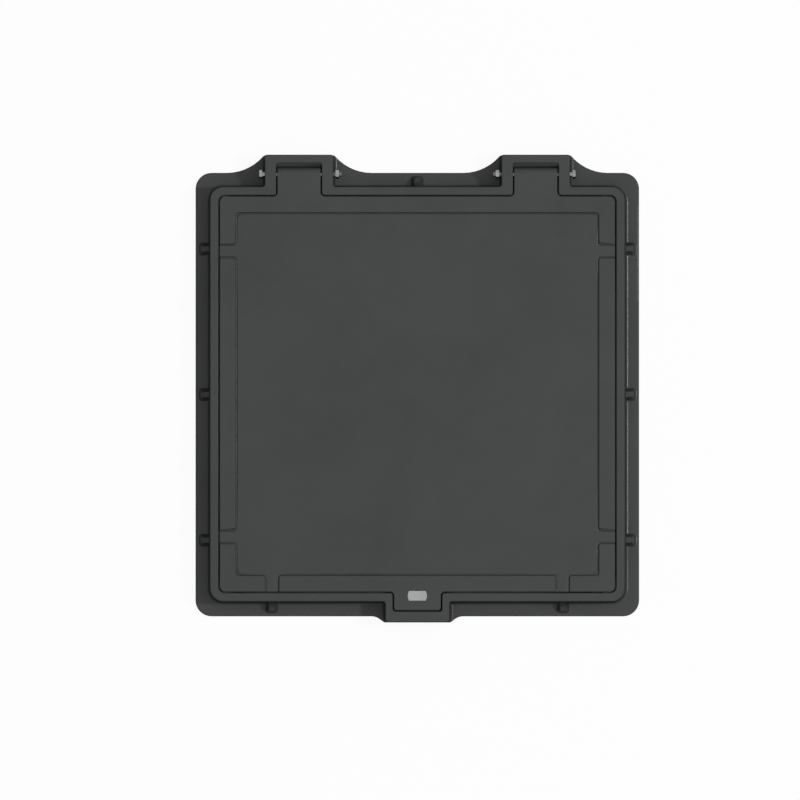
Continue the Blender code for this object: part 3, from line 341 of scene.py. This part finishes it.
rubber, shader = new_material("seal_rubber", specular=0.3)
place = add(rubber, "TexCoord").outputs["Object"]
bloom = noise(rubber, place, 24.0, 5.0, 0.6)
pores = noise(rubber, place, 1400.0, 2.0)
bloomed = ranged(rubber, bloom, 0.35, 0.7, 0.0, 1.0)
black = blend(rubber, bloomed, (0.010, 0.010, 0.011), (0.022, 0.022, 0.023))
wire(rubber, black, shader.inputs["Base Color"])
wire(rubber, ranged(rubber, bloom, 0.3, 0.7, 0.62, 0.8), shader.inputs["Roughness"])
bump(rubber, shader, (bloom, 0.15, 0.0003), (pores, 0.3, 0.0001))

seal = copy_of_node("cover_seal", "shelf_seal", rubber)
weld_and_flatten(seal, 0.00002, cuts_x=(-0.2, 0.2), cuts_y=(-0.2, 0.2))
ease_edges(seal, width=0.0009, segments=3, sharper_than=40)
fit(seal, "cover_seal", "frame")


# The cover. Pressed from the same compound: a bordered plate with drain channels, a rib grid below,
# two knuckles at the back for the hinge bolts and a tab in front for the lock.

cover_moulding = composite("cover_moulding_grey", *moulding_tones, **moulding_wear)
moulded_cover = copy_of_node("cover", "moulded_cover", cover_moulding, worn_highlit_edge)
cell_pitch = 0.577 / 7
cell_middles = [cell_pitch * step for step in range(-3, 4)]
beside_middle = 0.0207
weld_and_flatten(
    moulded_cover, 0.0003,
    cuts_x=[-0.308, *[cell + beside_middle for cell in cell_middles[:-1]], 0.308],
    cuts_y=[-0.348, -0.315, *[cell + opening_y for cell in cell_middles], 0.296, 0.34],
)
# The cover's proud and rounded edges get the same paler colour, partly wear and partly painted
# highlight.
ease_edges(moulded_cover, width=0.0005, segments=2, sharper_than=28, proud_slot=worn_highlit_slot)
worn_highlit_rounds(moulded_cover, worn_highlit_slot, top_edge)
fit(moulded_cover, "cover", "cover")


# The hinge bushes. Each knuckle of the cover carries a plain steel sleeve, cut off from tube and
# chamfered at both ends, that turns on the hinge bolt.

def begun(name):
    """Names the piece that was just added and leaves its object at the origin."""
    piece = bpy.context.object
    piece.name = name
    bpy.ops.object.transform_apply(location=True, rotation=True, scale=True)
    return piece


def face_outwards():
    """Turns the faces of the piece that is being edited outwards and ends the edit."""
    bpy.ops.mesh.select_all(action="SELECT")
    bpy.ops.mesh.normals_make_consistent(inside=False)
    bpy.ops.object.mode_set(mode="OBJECT")


def turned(name, rings, sides):
    """Lathe work along +Z: a circle drawn out through (radius, height) rings and then closed."""
    first_radius, first_height = rings[0]
    bpy.ops.object.select_all(action="DESELECT")
    bpy.ops.mesh.primitive_circle_add(
        vertices=sides, radius=first_radius, location=(0.0, 0.0, first_height))
    piece = begun(name)
    bpy.ops.object.mode_set(mode="EDIT")
    bpy.ops.mesh.select_mode(type="EDGE")
    bpy.ops.mesh.select_all(action="SELECT")
    for (old, low), (new, high) in zip(rings, rings[1:]):
        growth = new / old
        bpy.ops.mesh.extrude_edges_move(TRANSFORM_OT_translate={"value": (0.0, 0.0, high - low)})
        bpy.ops.transform.resize(value=(growth, growth, 1.0), center_override=(0.0, 0.0, high))
    bpy.ops.mesh.select_all(action="SELECT")
    bpy.ops.mesh.remove_doubles(threshold=0.000002)
    bpy.ops.mesh.fill_holes(sides=0)
    face_outwards()
    return piece


def twin(piece, name):
    """A copy of a piece with a mesh of its own."""
    other = bpy.data.objects.new(name, piece.data.copy())
    bpy.context.scene.collection.objects.link(other)
    return other


def set_at(piece, at, turn=0.0):
    """Turns a piece about Y, moves it to its place and leaves its object at the origin."""
    pick(piece)
    piece.rotation_euler = (0.0, turn, 0.0)
    piece.location = at
    bpy.ops.object.transform_apply(location=True, rotation=True, scale=True)


def middle(node):
    """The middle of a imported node's box."""
    low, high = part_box(node)
    return (Vector(low) + Vector(high)) / 2


def machined(name, dark, light, smoothest, roughest, lines):
    """Bare metal with fine tool lines across one way, faint stains and a duller handled skin."""
    material, shader = new_material(name, metallic=1.0)
    place = add(material, "TexCoord").outputs["Object"]
    tool_lines = noise(material, stretched(material, place, lines), 1.0, 2.0, 0.6)
    stains = noise(material, place, 130.0, 4.0, 0.6)
    handled = blend(material, ranged(material, stains, 0.35, 0.7, 0.0, 1.0), light, dark)
    brightened = ranged(material, tool_lines, 0.35, 0.75, 0.0, 0.5)
    wire(material, blend(material, brightened, handled, light), shader.inputs["Base Color"])
    duller = blend(material, 0.5, tool_lines, stains)
    dullness = ranged(material, duller, 0.3, 0.7, smoothest, roughest)
    wire(material, dullness, shader.inputs["Roughness"])
    bump(material, shader, (stains, 0.08, 0.0001), (tool_lines, 0.2, 0.00004))
    return material


hinge_steel = machined(
    "hinge_steel", dark=(0.20, 0.203, 0.206), light=(0.31, 0.313, 0.318),
    smoothest=0.24, roughest=0.42, lines=(2600.0, 70.0, 70.0))

low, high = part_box("hinge_bush_left")
sleeve_end = (high[0] - low[0]) / 2
chamfer_start = sleeve_end - 0.0005
sleeve_bore, sleeve_outside = 0.0043, 0.0063
sleeve = turned("hinge_sleeve_left", [
    (sleeve_bore, -chamfer_start), (0.0047, -sleeve_end), (0.0058, -sleeve_end),
    (sleeve_outside, -chamfer_start), (sleeve_outside, chamfer_start), (0.0058, sleeve_end),
    (0.0047, sleeve_end), (sleeve_bore, chamfer_start), (sleeve_bore, -chamfer_start)], 48)
sleeve.data.materials.append(hinge_steel)
for side, piece in (("left", sleeve), ("right", twin(sleeve, "hinge_sleeve_right"))):
    set_at(piece, middle("hinge_bush_" + side), math.pi / 2)
    fit(piece, "hinge_bush_" + side, "cover")


# The hinge bolts. Two stainless M8 hexagon bolts with a chamfered head on a washer face, a plain
# shank in the bush and a rolled thread at the end, one pushed through each hinge from outside.

def carve(piece, tool, way="DIFFERENCE"):
    """Takes a tool out of a piece, joins it on, or keeps what the two share."""
    pick(piece)
    bpy.ops.object.modifier_add(type="BOOLEAN")
    step = piece.modifiers[-1]
    step.object = tool
    step.operation = way
    step.solver = "EXACT"
    bpy.ops.object.modifier_apply(modifier=step.name)
    bpy.data.objects.remove(tool)


def hexagon(name, half_flats, low, high):
    """A straight hexagon bar along +Z with its first corner on the Y axis."""
    radius = half_flats / math.cos(math.pi / 6)
    bpy.ops.object.select_all(action="DESELECT")
    bpy.ops.mesh.primitive_circle_add(
        vertices=6, radius=radius, fill_type="NGON", location=(0.0, 0.0, low))
    piece = begun(name)
    bpy.ops.object.mode_set(mode="EDIT")
    bpy.ops.mesh.select_all(action="SELECT")
    bpy.ops.mesh.extrude_region_move(TRANSFORM_OT_translate={"value": (0.0, 0.0, high - low)})
    face_outwards()
    return piece


def break_edges(piece, width, sharper_than, segments=2):
    """A fine bevel on every edge sharper than the angle."""
    pick(piece)
    bpy.ops.object.modifier_add(type="BEVEL")
    bevel = piece.modifiers[-1]
    bevel.width = width
    bevel.segments = segments
    bevel.limit_method = "ANGLE"
    bevel.angle_limit = math.radians(sharper_than)
    bpy.ops.object.modifier_apply(modifier=bevel.name)


def thread_ridge(root, crest, pitch, low, turns):
    """A closed helical ridge along +Z, to be joined to the core that its foot is sunk in."""
    steps_a_turn = 28
    section = ((root, -0.47), (crest, -0.07), (crest, 0.07), (root, 0.47))
    bpy.ops.object.select_all(action="DESELECT")
    bpy.ops.mesh.primitive_plane_add(size=pitch)
    ridge = bpy.context.object
    bpy.ops.object.mode_set(mode="EDIT")
    mesh = bmesh.from_edit_mesh(ridge.data)
    mesh.faces.ensure_lookup_table()
    for corner, (radius, share) in zip(mesh.faces[0].verts, section):
        corner.co = (radius, 0.0, low + share * pitch)
    bmesh.update_edit_mesh(ridge.data)
    bpy.ops.mesh.select_all(action="SELECT")
    bpy.ops.mesh.delete(type="ONLY_FACE")
    bpy.ops.object.mode_set(mode="OBJECT")
    bpy.ops.object.modifier_add(type="SCREW")
    winding = ridge.modifiers[-1]
    winding.axis = "Z"
    winding.screw_offset = pitch
    winding.iterations = turns
    winding.steps = steps_a_turn
    winding.render_steps = steps_a_turn
    bpy.ops.object.modifier_apply(modifier=winding.name)
    bpy.ops.object.mode_set(mode="EDIT")
    bpy.ops.mesh.select_all(action="SELECT")
    bpy.ops.mesh.fill_holes(sides=0)
    face_outwards()
    return ridge


m8_half_flats, m8_head_height, m8_core = 0.0065, 0.0053, 0.0033
m8_ridge = {"root": 0.00315, "crest": 0.00394, "pitch": 0.00125}
bolt_end = 0.1340
bolt = turned("hinge_bolt_left_m8", [
    (0.0058, -0.0012), (0.0058, -0.0001), (0.0057, 0.0), (0.0044, 0.0), (0.0041, 0.0001),
    (0.0040, 0.0004), (0.0040, 0.1052), (m8_core, 0.1062), (m8_core, bolt_end)], 64)
carve(bolt, thread_ridge(**m8_ridge, low=0.1045, turns=25), "UNION")
carve(bolt, turned("bolt_blank", [
    (0.0070, -0.0100), (0.0070, 0.1327), (0.0046, 0.1327), (0.0031, bolt_end)], 64), "INTERSECT")
head = hexagon("bolt_head", m8_half_flats, -m8_head_height, -0.0004)
carve(head, turned("head_blank", [
    (0.0061, -0.0054), (0.0062, -m8_head_height), (0.0079, -0.0043), (0.0079, 0.0)], 100),
    "INTERSECT")
break_edges(head, width=0.0001, sharper_than=35)
carve(bolt, head, "UNION")
bolt.data.materials.append(hinge_steel)
for side, piece, way in (("left", bolt, -1), ("right", twin(bolt, "hinge_bolt_right_m8"), 1)):
    low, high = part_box("hinge_bolt_" + side)
    seat = (high[0] if way > 0 else low[0]) - way * m8_head_height
    axis = middle("hinge_bolt_" + side)
    set_at(piece, (seat, axis.y, axis.z), -way * math.pi / 2)
    fit(piece, "hinge_bolt_" + side, "frame")


# The hinge nuts. M8 hexagon nuts, chamfered on both faces and countersunk at both ends of the
# thread, screwed on to the inner end of each hinge bolt.

nut_end = 0.00325
nut = hexagon("hinge_nut_left_m8", m8_half_flats, -nut_end, nut_end)
carve(nut, turned("nut_blank", [
    (0.0060, -0.00335), (0.0062, -nut_end), (0.0079, -0.00225), (0.0079, 0.00225),
    (0.0062, nut_end), (0.0060, 0.00335)], 100), "INTERSECT")
break_edges(nut, width=0.0001, sharper_than=35)
carve(nut, turned("nut_bore", [
    (0.0050, -0.0040), (0.0044, -0.0033), (0.0041, -0.0029), (0.0041, 0.0029),
    (0.0044, 0.0033), (0.0050, 0.0040)], 64))
nut.data.materials.append(hinge_steel)
cam_nut = twin(nut, "lock_cam_nut_m8")
for side, piece, way in (("left", nut, -1), ("right", twin(nut, "hinge_nut_right_m8"), 1)):
    set_at(piece, middle("hinge_nut_" + side), -way * math.pi / 2)
    fit(piece, "hinge_nut_" + side, "frame")


# The lock's threaded inserts. Two knurled brass sleeves pressed into the underside of the tab while
# it is warm, with a groove round the middle that the compound flows into.

knurl_sides = 48


def knurl(piece, radius, scale):
    """Pulls in every second corner of the rings of one radius."""
    near = 0.00002
    pick(piece)
    bpy.ops.object.mode_set(mode="EDIT")
    bpy.ops.mesh.select_mode(type="VERT")
    bpy.ops.mesh.select_all(action="DESELECT")
    mesh = bmesh.from_edit_mesh(piece.data)
    for corner in mesh.verts:
        turn = math.atan2(corner.co.y, corner.co.x) / (2 * math.pi) * knurl_sides
        corner.select_set(abs(corner.co.xy.length - radius) < near and round(turn) % 2 == 0)
    mesh.select_flush_mode()
    bmesh.update_edit_mesh(piece.data)
    bpy.ops.transform.resize(value=(scale, scale, 1.0), center_override=(0.0, 0.0, 0.0))
    bpy.ops.object.mode_set(mode="OBJECT")


brass = machined(
    "insert_brass", dark=(0.46, 0.32, 0.12), light=(0.62, 0.45, 0.18),
    smoothest=0.26, roughest=0.42, lines=(60.0, 60.0, 3000.0))
insert_radius, insert_end = 0.0043, 0.00335
insert = turned("lock_insert_left_m5", [
    (0.0031, -insert_end), (0.0040, -insert_end), (insert_radius, -0.0029),
    (insert_radius, -0.0008), (0.0038, -0.0004), (0.0038, 0.0004), (insert_radius, 0.0008),
    (insert_radius, 0.0029), (0.0040, insert_end), (0.0031, insert_end), (0.0028, 0.0030),
    (0.0028, -0.0030), (0.0031, -insert_end)], knurl_sides)
knurl(insert, insert_radius, 0.95)
insert.data.materials.append(brass)
for side, piece in (("left", insert), ("right", twin(insert, "lock_insert_right_m5"))):
    set_at(piece, middle("lock_insert_" + side))
    fit(piece, "lock_insert_" + side, "cover")


# The lock's gasket. Stamped from black rubber sheet to the outline of the housing's flange, and
# squeezed between it and the tab to keep water out of the keyhole.

lock_y = middle("lock_housing").y
flange_radius, ear_radius, ear_x = 0.0176, 0.0075, 0.0245
cup_bore, screw_hole = 0.0155, 0.0028


def eared_plate(name, low, high):
    """A plate with a round middle and an ear to each side, as the hull of three discs."""
    level = (low + high) / 2
    height = {"depth": high - low, "end_fill_type": "NGON"}
    bpy.ops.object.select_all(action="DESELECT")
    bpy.ops.mesh.primitive_cylinder_add(
        vertices=96, radius=flange_radius, location=(0.0, lock_y, level), **height)
    piece = begun(name)
    bpy.ops.object.mode_set(mode="EDIT")
    for x in (-ear_x, ear_x):
        bpy.ops.mesh.primitive_cylinder_add(
            vertices=64, radius=ear_radius, location=(x, lock_y, level), **height)
    bpy.ops.mesh.select_all(action="SELECT")
    bpy.ops.mesh.convex_hull(use_existing_faces=False)
    bpy.ops.mesh.select_all(action="SELECT")
    bpy.ops.mesh.dissolve_limited(angle_limit=math.radians(0.3))
    bpy.ops.object.mode_set(mode="OBJECT")
    return piece


def bored(piece, radius, low, high, *places):
    """Bores straight holes through a piece at these X places on the lock's line."""
    past = 0.002
    for x in places:
        tool = turned("bore", [(radius, low - past), (radius, high + past)], 48)
        set_at(tool, (x, lock_y, 0.0))
        carve(piece, tool)


low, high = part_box("lock_gasket")
gasket = eared_plate("lock_gasket_rubber", low[2], high[2])
bored(gasket, cup_bore, low[2], high[2], 0.0)
bored(gasket, screw_hole, low[2], high[2], -ear_x, ear_x)
ease_edges(gasket, width=0.0003, segments=2, sharper_than=40)
gasket.data.materials.append(rubber)
fit(gasket, "lock_gasket", "cover")


# The lock's housing. A stainless casting, turned inside: a cup for the spindle with a flange and
# two ears that two screws hold up against the tab.

lock_steel = machined(
    "lock_steel", dark=(0.42, 0.425, 0.43), light=(0.56, 0.565, 0.57),
    smoothest=0.30, roughest=0.48, lines=(60.0, 60.0, 2600.0))
low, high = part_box("lock_housing")
flange_foot = high[2] - 0.004
housing = eared_plate("lock_housing_cast", flange_foot, high[2])
cup = turned("cup", [
    (0.0156, 0.0), (0.01655, 0.0004), (0.0171, 0.0015), (0.0171, 0.0178), (0.01735, 0.0183),
    (0.01755, 0.0185), (0.0160, 0.0205)], 96)
set_at(cup, (0.0, lock_y, low[2]))
carve(housing, cup, "UNION")
hollow = turned("hollow", [
    (0.0072, -0.0010), (0.0072, 0.0), (0.0068, 0.0004), (0.0068, 0.0030), (0.0150, 0.0030),
    (cup_bore, 0.0035), (cup_bore, 0.0220), (0.0159, 0.0224), (0.0159, 0.0260)], 96)
set_at(hollow, (0.0, lock_y, low[2]))
carve(housing, hollow)
bored(housing, screw_hole, flange_foot, high[2], -ear_x, ear_x)
ease_edges(housing, width=0.0003, segments=2, sharper_than=40)
housing.data.materials.append(lock_steel)
fit(housing, "lock_housing", "cover")


# The lock's screws. Two stainless M5 cap screws with a hexagon socket and a knurled head, driven
# from below through the housing's ears into the brass inserts.

low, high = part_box("lock_screw_left")
screw_end = high[2] - low[2]
screw_head = 0.00425
screw = turned("lock_screw_left_m5", [
    (0.0034, 0.0), (0.0039, 0.0001), (0.0042, 0.0005), (screw_head, 0.0007), (screw_head, 0.0046),
    (0.0041, 0.0050), (0.0027, 0.0050), (0.0025, 0.0052), (0.0025, 0.0068), (0.0020, 0.0073),
    (0.0020, screw_end)], knurl_sides)
knurl(screw, screw_head, 0.96)
carve(screw, thread_ridge(root=0.0019, crest=0.00247, pitch=0.0008, low=0.0066, turns=15), "UNION")
carve(screw, turned("screw_blank", [
    (0.0060, -0.0010), (0.0060, 0.0166), (0.0028, 0.0166), (0.0019, screw_end)], 48), "INTERSECT")
carve(screw, hexagon("hex_key_socket", 0.0020, -0.0010, 0.0025))
screw.data.materials.append(lock_steel)
right_screw = twin(screw, "lock_screw_right_m5")
for side, piece, x in (("left", screw, -ear_x), ("right", right_screw, ear_x)):
    set_at(piece, (x, lock_y, low[2]))
    fit(piece, "lock_screw_" + side, "cover")


# The disc spring. A thin coned washer of spring steel in the floor of the housing, which presses
# the spindle up and keeps it where it is turned to.

low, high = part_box("lock_disc_spring")
disc = turned("lock_disc_spring_coned", [
    (0.0069, 0.0004), (0.0111, 0.0002), (0.0151, 0.0), (0.0152, 0.0001), (0.0152, 0.0005),
    (0.0151, 0.0006), (0.0111, 0.0008), (0.0069, 0.0010), (0.0068, 0.0009), (0.0068, 0.0005),
    (0.0069, 0.0004)], 96)
set_at(disc, (0.0, lock_y, low[2]))
disc.data.materials.append(lock_steel)
fit(disc, "lock_disc_spring", "cover")


# The lock's spindle. Turned from stainless bar: a wide head with the key's two-flatted socket, a
# shaft through the housing, a square that drives the cam and a threaded stud below it.

def flatted_disc(name, radius, flat, low, high, sides):
    """A disc on the lock's axis with a flat before and behind."""
    bpy.ops.object.select_all(action="DESELECT")
    bpy.ops.mesh.primitive_cylinder_add(
        vertices=sides, radius=radius, depth=high - low, location=(0.0, lock_y, (low + high) / 2))
    piece = begun(name)
    bpy.ops.object.mode_set(mode="EDIT")
    for way in (-1.0, 1.0):
        bpy.ops.mesh.select_all(action="SELECT")
        bpy.ops.mesh.bisect(
            plane_co=(0.0, lock_y + way * flat, 0.0), plane_no=(0.0, way, 0.0),
            use_fill=True, clear_outer=True)
    face_outwards()
    return piece


def squared(name, length, width, low, high, back_corner, front_corner):
    """A flat bar on the lock's axis, from -X to +X, with its upright corners rounded."""
    near = 0.00001
    start, end = length
    bpy.ops.object.select_all(action="DESELECT")
    bpy.ops.mesh.primitive_cube_add(
        size=1.0, location=((start + end) / 2, lock_y, (low + high) / 2))
    bpy.context.object.scale = (end - start, width, high - low)
    piece = begun(name)
    bpy.ops.object.mode_set(mode="EDIT")
    bpy.ops.mesh.select_mode(type="EDGE")
    for x, corner in ((start, back_corner), (end, front_corner)):
        bpy.ops.mesh.select_all(action="DESELECT")
        mesh = bmesh.from_edit_mesh(piece.data)
        for edge in mesh.edges:
            one, other = [v.co for v in edge.verts]
            tall = abs(one.z - other.z) > 0.9 * (high - low)
            upright = tall and (one.xy - other.xy).length < near
            edge.select_set(upright and abs(one.x - x) < near)
        bmesh.update_edit_mesh(piece.data)
        bpy.ops.mesh.bevel(offset=corner, segments=8)
    bpy.ops.object.mode_set(mode="OBJECT")
    return piece


low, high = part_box("lock_spindle")
foot, top = low[2], high[2]
spindle_head = 0.0152
spindle = turned("lock_spindle_turned", [
    (m8_core, foot), (m8_core, 0.0262), (0.0040, 0.0267), (0.0040, 0.0320), (0.0061, 0.0320),
    (0.0065, 0.0324), (0.0065, 0.0424), (0.0067, 0.0426), (0.0149, 0.0426), (spindle_head, 0.0429),
    (spindle_head, 0.0470), (0.0149, 0.0473), (0.0149, 0.0483), (spindle_head, 0.0486),
    (spindle_head, top - 0.0004), (0.0148, top)], 96)
carve(spindle, thread_ridge(**m8_ridge, low=foot - 0.0010, turns=10), "UNION")
stud_chamfer = foot + 0.0013
carve(spindle, turned("stud_blank", [
    (0.0031, foot), (0.0044, stud_chamfer), (0.0200, stud_chamfer), (0.0200, top + 0.001)], 64),
    "INTERSECT")
set_at(spindle, (0.0, lock_y, 0.0))
carve(spindle, squared(
    "spindle_square", (-0.0044, 0.0044), 0.0088, 0.0270, 0.0325,
    back_corner=0.0015, front_corner=0.0015), "UNION")
carve(spindle, flatted_disc("key_socket", 0.0140, 0.0059, top - 0.0080, top + 0.0040, 96))
ease_edges(spindle, width=0.0003, segments=2, sharper_than=40)
spindle.data.materials.append(lock_steel)
fit(spindle, "lock_spindle", "lock")


# The lock's cam. A tongue of flat stainless bar with a square hole, rounded at its corners and
# broken along its edges, that turns in under the frame's shelf.

low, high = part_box("lock_cam")
cam = squared(
    "lock_cam_tongue", (low[0], high[0]), high[1] - low[1], low[2], high[2],
    back_corner=0.0050, front_corner=0.0040)
break_edges(cam, width=0.0006, sharper_than=40, segments=3)
carve(cam, squared(
    "cam_hole", (-0.0047, 0.0047), 0.0094, low[2] - 0.002, high[2] + 0.002,
    back_corner=0.0015, front_corner=0.0015))
cam.data.materials.append(lock_steel)
fit(cam, "lock_cam", "lock")


# The cam's washer and nut. A plain stamped washer, rounded on the side that the punch entered, and
# the same M8 nut as on the hinges hold the cam on the spindle's square.

low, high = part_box("lock_cam_washer")
washer = turned("lock_cam_washer_m8", [
    (0.0044, 0.0), (0.0076, 0.0), (0.0079, 0.0001), (0.0080, 0.0004), (0.0080, 0.0015),
    (0.00795, 0.0016), (0.0043, 0.0016), (0.0043, 0.0001), (0.0044, 0.0)], 64)
set_at(washer, (0.0, lock_y, low[2]))
washer.data.materials.append(lock_steel)
fit(washer, "lock_cam_washer", "lock")
set_at(cam_nut, middle("lock_cam_nut"))
fit(cam_nut, "lock_cam_nut", "lock")


# The keyhole plug. A light grey moulded stopper with two flats and a slightly dished head, pushed
# into the keyhole to keep grit out of the lock. A screwdriver at the notch behind it lifts it out.

stopper_grey, shader = new_material("stopper_grey", specular=0.4)
place = add(stopper_grey, "TexCoord").outputs["Object"]
clouds = noise(stopper_grey, place, 60.0, 4.0, 0.6)
grain = noise(stopper_grey, place, 1800.0, 2.0)
clouded = ranged(stopper_grey, clouds, 0.35, 0.65, 0.0, 1.0)
light_grey = blend(stopper_grey, clouded, (0.30, 0.305, 0.312), (0.355, 0.36, 0.368))
wire(stopper_grey, light_grey, shader.inputs["Base Color"])
wire(stopper_grey, ranged(stopper_grey, clouds, 0.3, 0.7, 0.4, 0.52), shader.inputs["Roughness"])
bump(stopper_grey, shader, (clouds, 0.1, 0.0003), (grain, 0.2, 0.0001))

low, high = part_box("keyhole_plug")
foot, top = low[2], high[2]
stem_radius, stem_flat = 0.0136, 0.0056
stopper = flatted_disc("keyhole_stopper", 0.01625, 0.0082, top - 0.0040, top, 128)
carve(stopper, flatted_disc("stem", stem_radius, stem_flat, foot, top - 0.0020, 128), "UNION")
carve(stopper, flatted_disc("dish", stem_radius, stem_flat, top - 0.00015, top + 0.0020, 128))
break_edges(stopper, width=0.0005, sharper_than=40, segments=4)
stopper.data.materials.append(stopper_grey)
fit(stopper, "keyhole_plug", "plug")


# The studio. A pale floor that shows white behind the object and keeps its soft shadow, a wide soft
# light overhead, a smaller box to the right, and the camera almost straight above.

def seen_ray(owner):
    """1 for camera, mirror and see-through rays, 0 for the rays that light the object."""
    path = add(owner, "LightPath").outputs
    seen = path["Is Camera Ray"]
    for kind in ("Is Glossy Ray", "Is Transmission Ray"):
        seen = maths(owner, "MAXIMUM", seen, path[kind])
    return seen


bpy.ops.object.select_all(action="DESELECT")
bpy.ops.mesh.primitive_grid_add(
    size=60.0, x_subdivisions=4, y_subdivisions=4, location=(0.0, 0.0, -0.0004))
floor = begun("floor")
paper = bpy.data.materials.new("floor_white")
paper.use_nodes = True
paper.node_tree.nodes.remove(paper.node_tree.nodes["Principled BSDF"])
seen_floor = seen_ray(paper)
matt = add(paper, "BsdfDiffuse")
paper_grey = blend(paper, seen_floor, (0.22, 0.22, 0.22), (0.85, 0.85, 0.85))
wire(paper, paper_grey, matt.inputs["Color"])
white = add(paper, "Emission", strength=1.0)
mixed = add(paper, "MixShader")
wire(paper, ranged(paper, seen_floor, 0.0, 1.0, 0.0, 0.92), mixed.inputs[0])
wire(paper, matt.outputs[0], mixed.inputs[1])
wire(paper, white.outputs[0], mixed.inputs[2])
wire(paper, mixed.outputs[0], paper.node_tree.nodes["Material Output"].inputs["Surface"])
floor.data.materials.append(paper)

world = bpy.data.worlds.new("studio")
world.use_nodes = True
bpy.context.scene.world = world
dome = world.node_tree.nodes["Background"]
dome.inputs["Color"].default_value = (1.0, 1.0, 1.0, 1.0)
wire(world, ranged(world, seen_ray(world), 0.0, 1.0, 0.17, 1.0), dome.inputs["Strength"])


def soft_box(name, at, size, power, in_mirrors):
    """A square soft light that looks at the object."""
    bpy.ops.object.light_add(type="AREA", location=at)
    lamp = bpy.context.object
    lamp.name = name
    lamp.data.shape = "SQUARE"
    lamp.data.size = size
    lamp.data.energy = power
    lamp.rotation_euler = (-Vector(at)).to_track_quat("-Z", "Y").to_euler()
    lamp.visible_camera = False
    lamp.visible_glossy = in_mirrors


soft_box("light_right", (6.0, 0.3, 9.2), size=0.9, power=485.0, in_mirrors=True)
soft_box("light_above", (0.7, 0.0, 9.0), size=8.0, power=475.0, in_mirrors=False)

lens, sensor, seen_width = 800.0, 36.0, 1.3544
seen_middle = Vector((-0.0294, -0.0198, 0.075))
camera_tilt = math.radians(0.8)
camera_data = bpy.data.cameras.new("camera")
camera_data.lens = lens
camera_data.sensor_width = sensor
camera_data.clip_end = 200.0
camera = bpy.data.objects.new("camera", camera_data)
bpy.context.scene.collection.objects.link(camera)
camera.rotation_euler = (camera_tilt, 0.0, 0.0)
camera_back = Vector((0.0, 0.0, seen_width * lens / sensor))
camera.location = seen_middle + camera.rotation_euler.to_matrix() @ camera_back
bpy.context.scene.camera = camera
bpy.context.scene.view_settings.view_transform = "Standard"
